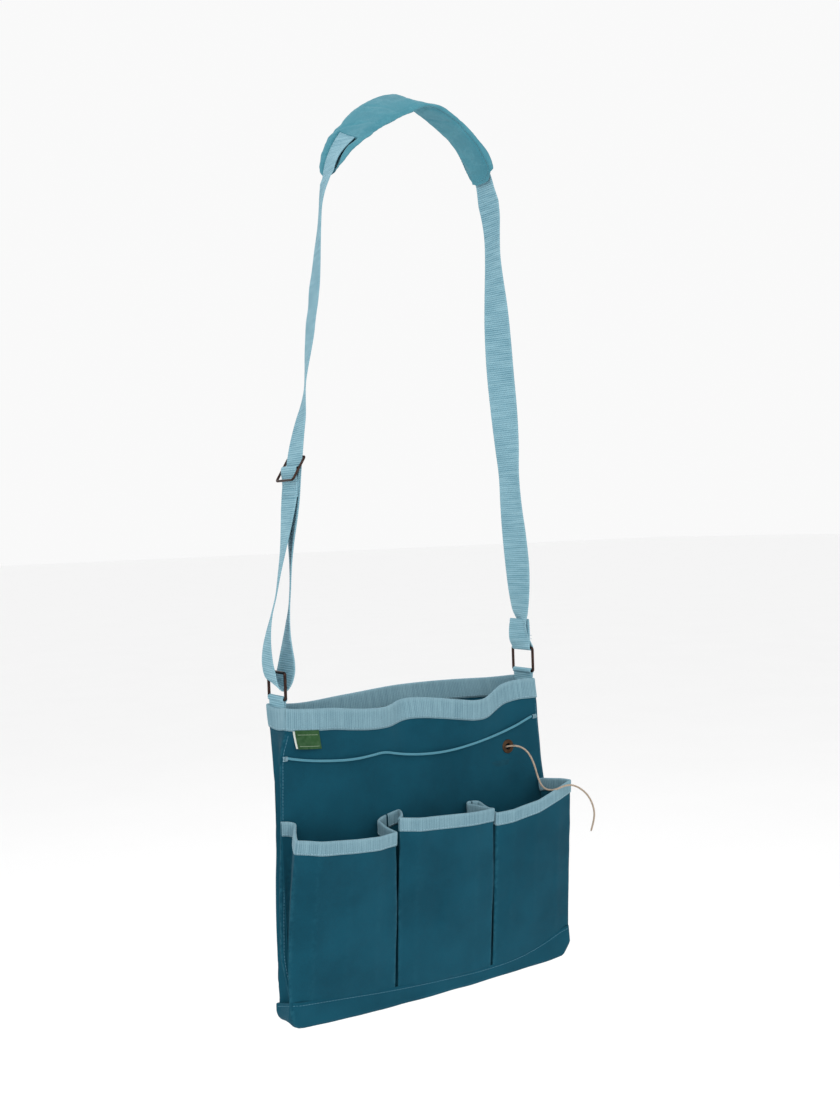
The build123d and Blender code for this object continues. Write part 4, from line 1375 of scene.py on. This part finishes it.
def pad_border(inset):
    """Places on the unrolled pad at one distance inside its outline, all the way round."""
    half_l = PAD_HALF_LENGTH - PAD_CORNER
    half_w = PAD_HALF_W - PAD_CORNER
    radius = PAD_CORNER - inset
    corners = ((half_l, half_w, 0), (-half_l, half_w, 90), (-half_l, -half_w, 180), (half_l, -half_w, 270))
    loop = [(x + radius * math.cos(a), y + radius * math.sin(a), 0.0) for x, y, first in corners
            for a in np.radians(np.linspace(first, first + 90, 12))]
    table, _ = resample(loop + loop[:1], 2.0)
    return table[:, 0], table[:, 1]


def add_pad():
    blank = pad_blank()
    mesh = mesh_from("shoulder_pad", blank.reshape(-1, 3), round_faces(*blank.shape[:2], wrap=False))
    pad = link("shoulder_pad", mesh, SUEDE)
    inflate(pad, 0.0036, 4.0, 0.0016)
    mesh = pad.data
    co = np.zeros(len(mesh.vertices) * 3, np.float32)
    mesh.vertices.foreach_get("co", co)
    shaped, s, w, rise, inset = shape_pad((co.reshape(-1, 3) - ORIGIN) / MM)
    mesh.vertices.foreach_set("co", to_frame(shaped).astype(np.float32).ravel())
    for name in ("st", "wear"):
        if name in mesh.attributes:
            mesh.attributes.remove(mesh.attributes[name])
    grid = np.column_stack([s, w, 0 * s]).astype(np.float32) * MM
    mesh.attributes.new("st", "FLOAT_VECTOR", "POINT").data.foreach_set("vector", grid.ravel())
    worn = np.exp(-((inset - 1.0) / 2.5) ** 2).astype(np.float32)
    mesh.attributes.new("wear", "FLOAT", "POINT").data.foreach_set("value", worn)
    mesh.materials.clear()
    mesh.materials.append(SUEDE)
    mesh.polygons.foreach_set("use_smooth", [True] * len(mesh.polygons))
    mesh.update()
    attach(pad, "pad")
    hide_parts("pad_cover", "pad_foam", "pad_lining")
    known = np.column_stack([s, w, rise])[rise < -1.0]
    s, w = pad_border(PAD_SEAM)
    lift = np.array([known[np.argsort(np.hypot(known[:, 0] - a, known[:, 1] - b))[:6], 2].mean()
                     for a, b in zip(s, w)]) - 0.1
    points = on_pad(s, w, lift)
    normals = unit(on_pad(s, w, lift - 1.0) - points)
    stitches("pad_stitches", [(points, normals)], THREAD_PAD, "pad")


add_pad()

# ---- label, inner pocket and the ball of twine
LABEL_X = 0.5 * (label_low.x + label_high.x - 2 * CENTRE_X) / MM
LABEL_W = (label_high.x - label_low.x) / MM


LABEL_LEAN = 0.08


def add_label():
    layers = (("label_front", 1.5, 0.0, 18.6, LABEL_GREEN), ("label_back", 0.55, -1.8, 18.0, LABEL_WHITE))
    for name, off, shift, tall, material in layers:
        x = np.linspace(-LABEL_W / 2, LABEL_W / 2, 27)
        d = np.linspace(0, tall, 22)
        u = x + LABEL_X + shift + RIM_HALF_W
        base = body_below(u, d + RIM_BIND - 0.6)
        base[..., 0] = x[:, None] + LABEL_X + shift + LABEL_LEAN * d[None, :]
        share = d[None, :] / tall
        base[..., 1] -= off + 0.2 + 2.6 * share ** 1.6 + 0.5 * np.sin((x[:, None] + d) / 7.0) * share
        label = cloth(name, base, 0.3, material, grid(x, d), 0.15)
        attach(label, "bag")
        if name == "label_front":
            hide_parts("label_tag")
            normal = grid_normals(base)
            normal = normal * np.sign(-normal[..., 1:2])
            lines = [(base[2:-2, j] + normal[2:-2, j] * 0.32, normal[2:-2, j]) for j in (5, 18)]
            stitches("label_lines", lines, THREAD_WHITE, "bag", length=1.5, gap=0.2, radius=0.22)


add_label()


def add_twine_pocket():
    low, high = box_mm("twine_pocket")
    mid_x, half_x = 0.5 * (low[0] + high[0]), 0.5 * (high[0] - low[0]) - 0.6
    front, back = low[1] + 0.8, high[1] - 3.4
    mid_y, half_y = 0.5 * (front + back), 0.5 * (back - front)
    turn = np.linspace(0, 2 * math.pi, 120, endpoint=False)
    x = squared(np.cos(turn), 0.42) * half_x
    y = squared(np.sin(turn), 0.42) * half_y
    rows = [(z, 1.0) for z in np.linspace(high[2], low[2] + 5, 26)]
    rows += [(low[2] + up, k) for up, k in ((2.5, 0.97), (1.0, 0.88), (0.5, 0.7), (0.4, 0.4), (0.4, 0.06))]
    points = np.stack([np.stack([mid_x + x * k, mid_y + y * k, np.full(120, z)], 1) for z, k in rows], 1)
    normal = grid_normals(points, wrap=True)
    points = points + normal * (ripple(points, 18.0, 8.0) * 0.5)[..., None]
    run = distance_along(np.array(rows) * (1.0, half_x))
    pouch = cloth("twine_pocket_canvas", points, 0.5, LINING, grid(turn * 24, run), 0.1, wrap=True)
    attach(pouch, "bag")
    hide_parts("twine_pocket")


def add_twine_ball():
    low, high = box_mm("twine_ball")
    centre, radius = 0.5 * (low + high) - (0, 1.0, 0), 0.5 * (high[0] - low[0]) - 0.8
    parts = []
    for inwards, tilt, turns, drift in ((3.0, 0.9, 26, 0.61), (2.0, 0.5, 26, 0.47), (1.1, 1.15, 30, 0.37)):
        t = np.linspace(0, turns * 2 * math.pi, turns * 30)
        spin = t * drift / math.pi
        e1 = np.stack([np.cos(spin), np.sin(spin), 0 * spin], 1)
        e2 = np.stack([-np.sin(spin) * math.cos(tilt), np.cos(spin) * math.cos(tilt),
                       np.full_like(spin, math.sin(tilt))], 1)
        path = centre + (radius - inwards) * (np.cos(t)[:, None] * e1 + np.sin(t)[:, None] * e2)
        parts.append(tube(path, 1.05, 6))
    ball = merged("twine_ball_winding", parts, TWINE)
    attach(ball, "bag")
    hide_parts("twine_ball")


add_twine_pocket()
add_twine_ball()


# ---- seams of the canvas and the elastic's tacks
def add_seams():
    lines = []
    for u in (3.4, FRONT_RUN - 3.4, FRONT_RUN + SIDE_RUN + 3.4, GIRTH - SIDE_RUN - 3.4):
        z = np.linspace(28.0, 291.0, 120)
        us = np.array([u - 1.0, u, u + 1.0])
        base = body_surface(us[:, None], z[None, :])
        normal = grid_normals(base)
        normal = normal * np.sign((normal * (0, base[1, 60, 1] + 12.0, 0)).sum(-1, keepdims=True))
        lines.append((base[1] + normal[1] * CANVAS_HALF, normal[1]))
    stitches("side_seam_stitches", lines, THREAD_CANVAS, "bag")
    for name in ("left", "right"):
        low, high = box_mm(f"elastic_tack_{name}")
        middle = 0.5 * (low + high)
        angle = np.linspace(-1.35, 1.35, 9)
        outward = np.stack([0 * angle, -np.cos(angle), np.sin(angle)], 1)
        rows = []
        for k in range(7):
            top = np.array([middle[0] + (k - 3) * 0.75 + 0.3 * (-1) ** k, low[1] + 2.6, middle[2]])
            rows.append((top + outward * (0.0, 2.4, 2.3), outward))
        tack = stitches(f"elastic_tack_{name}_thread", rows, THREAD_LIGHT, "bag",
                        length=7.0, gap=0.2, radius=0.33)
        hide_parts(f"elastic_tack_{name}")


add_seams()


def add_floor_and_light():
    floor_z = BOTTOM_Z - 0.32
    mesh = bpy.data.meshes.new("floor")
    size = 40.0
    mesh.from_pydata([(-size, -size, floor_z), (size, -size, floor_z), (size, size, floor_z),
                      (-size, size, floor_z)], [], [(0, 1, 2, 3)])
    n = Nodes("floor")
    grain = n.ramp(n.noise(3.0, 3.0), 0.3, 0.7)
    colour = n.blend(grain, [0.955, 0.955, 0.955, 1], [0.965, 0.965, 0.965, 1])
    floor = link("floor", mesh, n.finish(colour, 0.9, specular=0.1), smooth=False)
    world = bpy.data.worlds.new("world")
    world.use_nodes = True
    world.node_tree.nodes["Background"].inputs[0].default_value = (1.0, 1.0, 1.0, 1.0)
    world.node_tree.nodes["Background"].inputs[1].default_value = 0.95
    bpy.context.scene.world = world
    lights = (("key", (-1500, -1500, 1500), (0, 0, 450), 1.6, 17.0),
              ("fill", (1500, -1300, 700), (0, 0, 350), 2.0, 3.0),
              ("top", (100, 900, 1900), (0, 0, 600), 1.6, 7.0))
    for name, place, target, size, power in lights:
        data = bpy.data.lights.new(name, "AREA")
        data.energy = power
        data.size = size
        lamp = bpy.data.objects.new(name, data)
        bpy.context.collection.objects.link(lamp)
        lamp.location = at(*place)
        aim = at(*target) - lamp.location
        lamp.rotation_euler = aim.to_track_quat("-Z", "Y").to_euler()
    bpy.context.scene.view_settings.view_transform = "Standard"


add_floor_and_light()

for node, material in (("slider", BRONZE), ("ring_left", BRONZE), ("ring_right", BRONZE),
                       ("eyelet_flange", COPPER), ("eyelet_washer", COPPER)):
    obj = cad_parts[node]
    for slot in obj.material_slots:
        slot.material = material
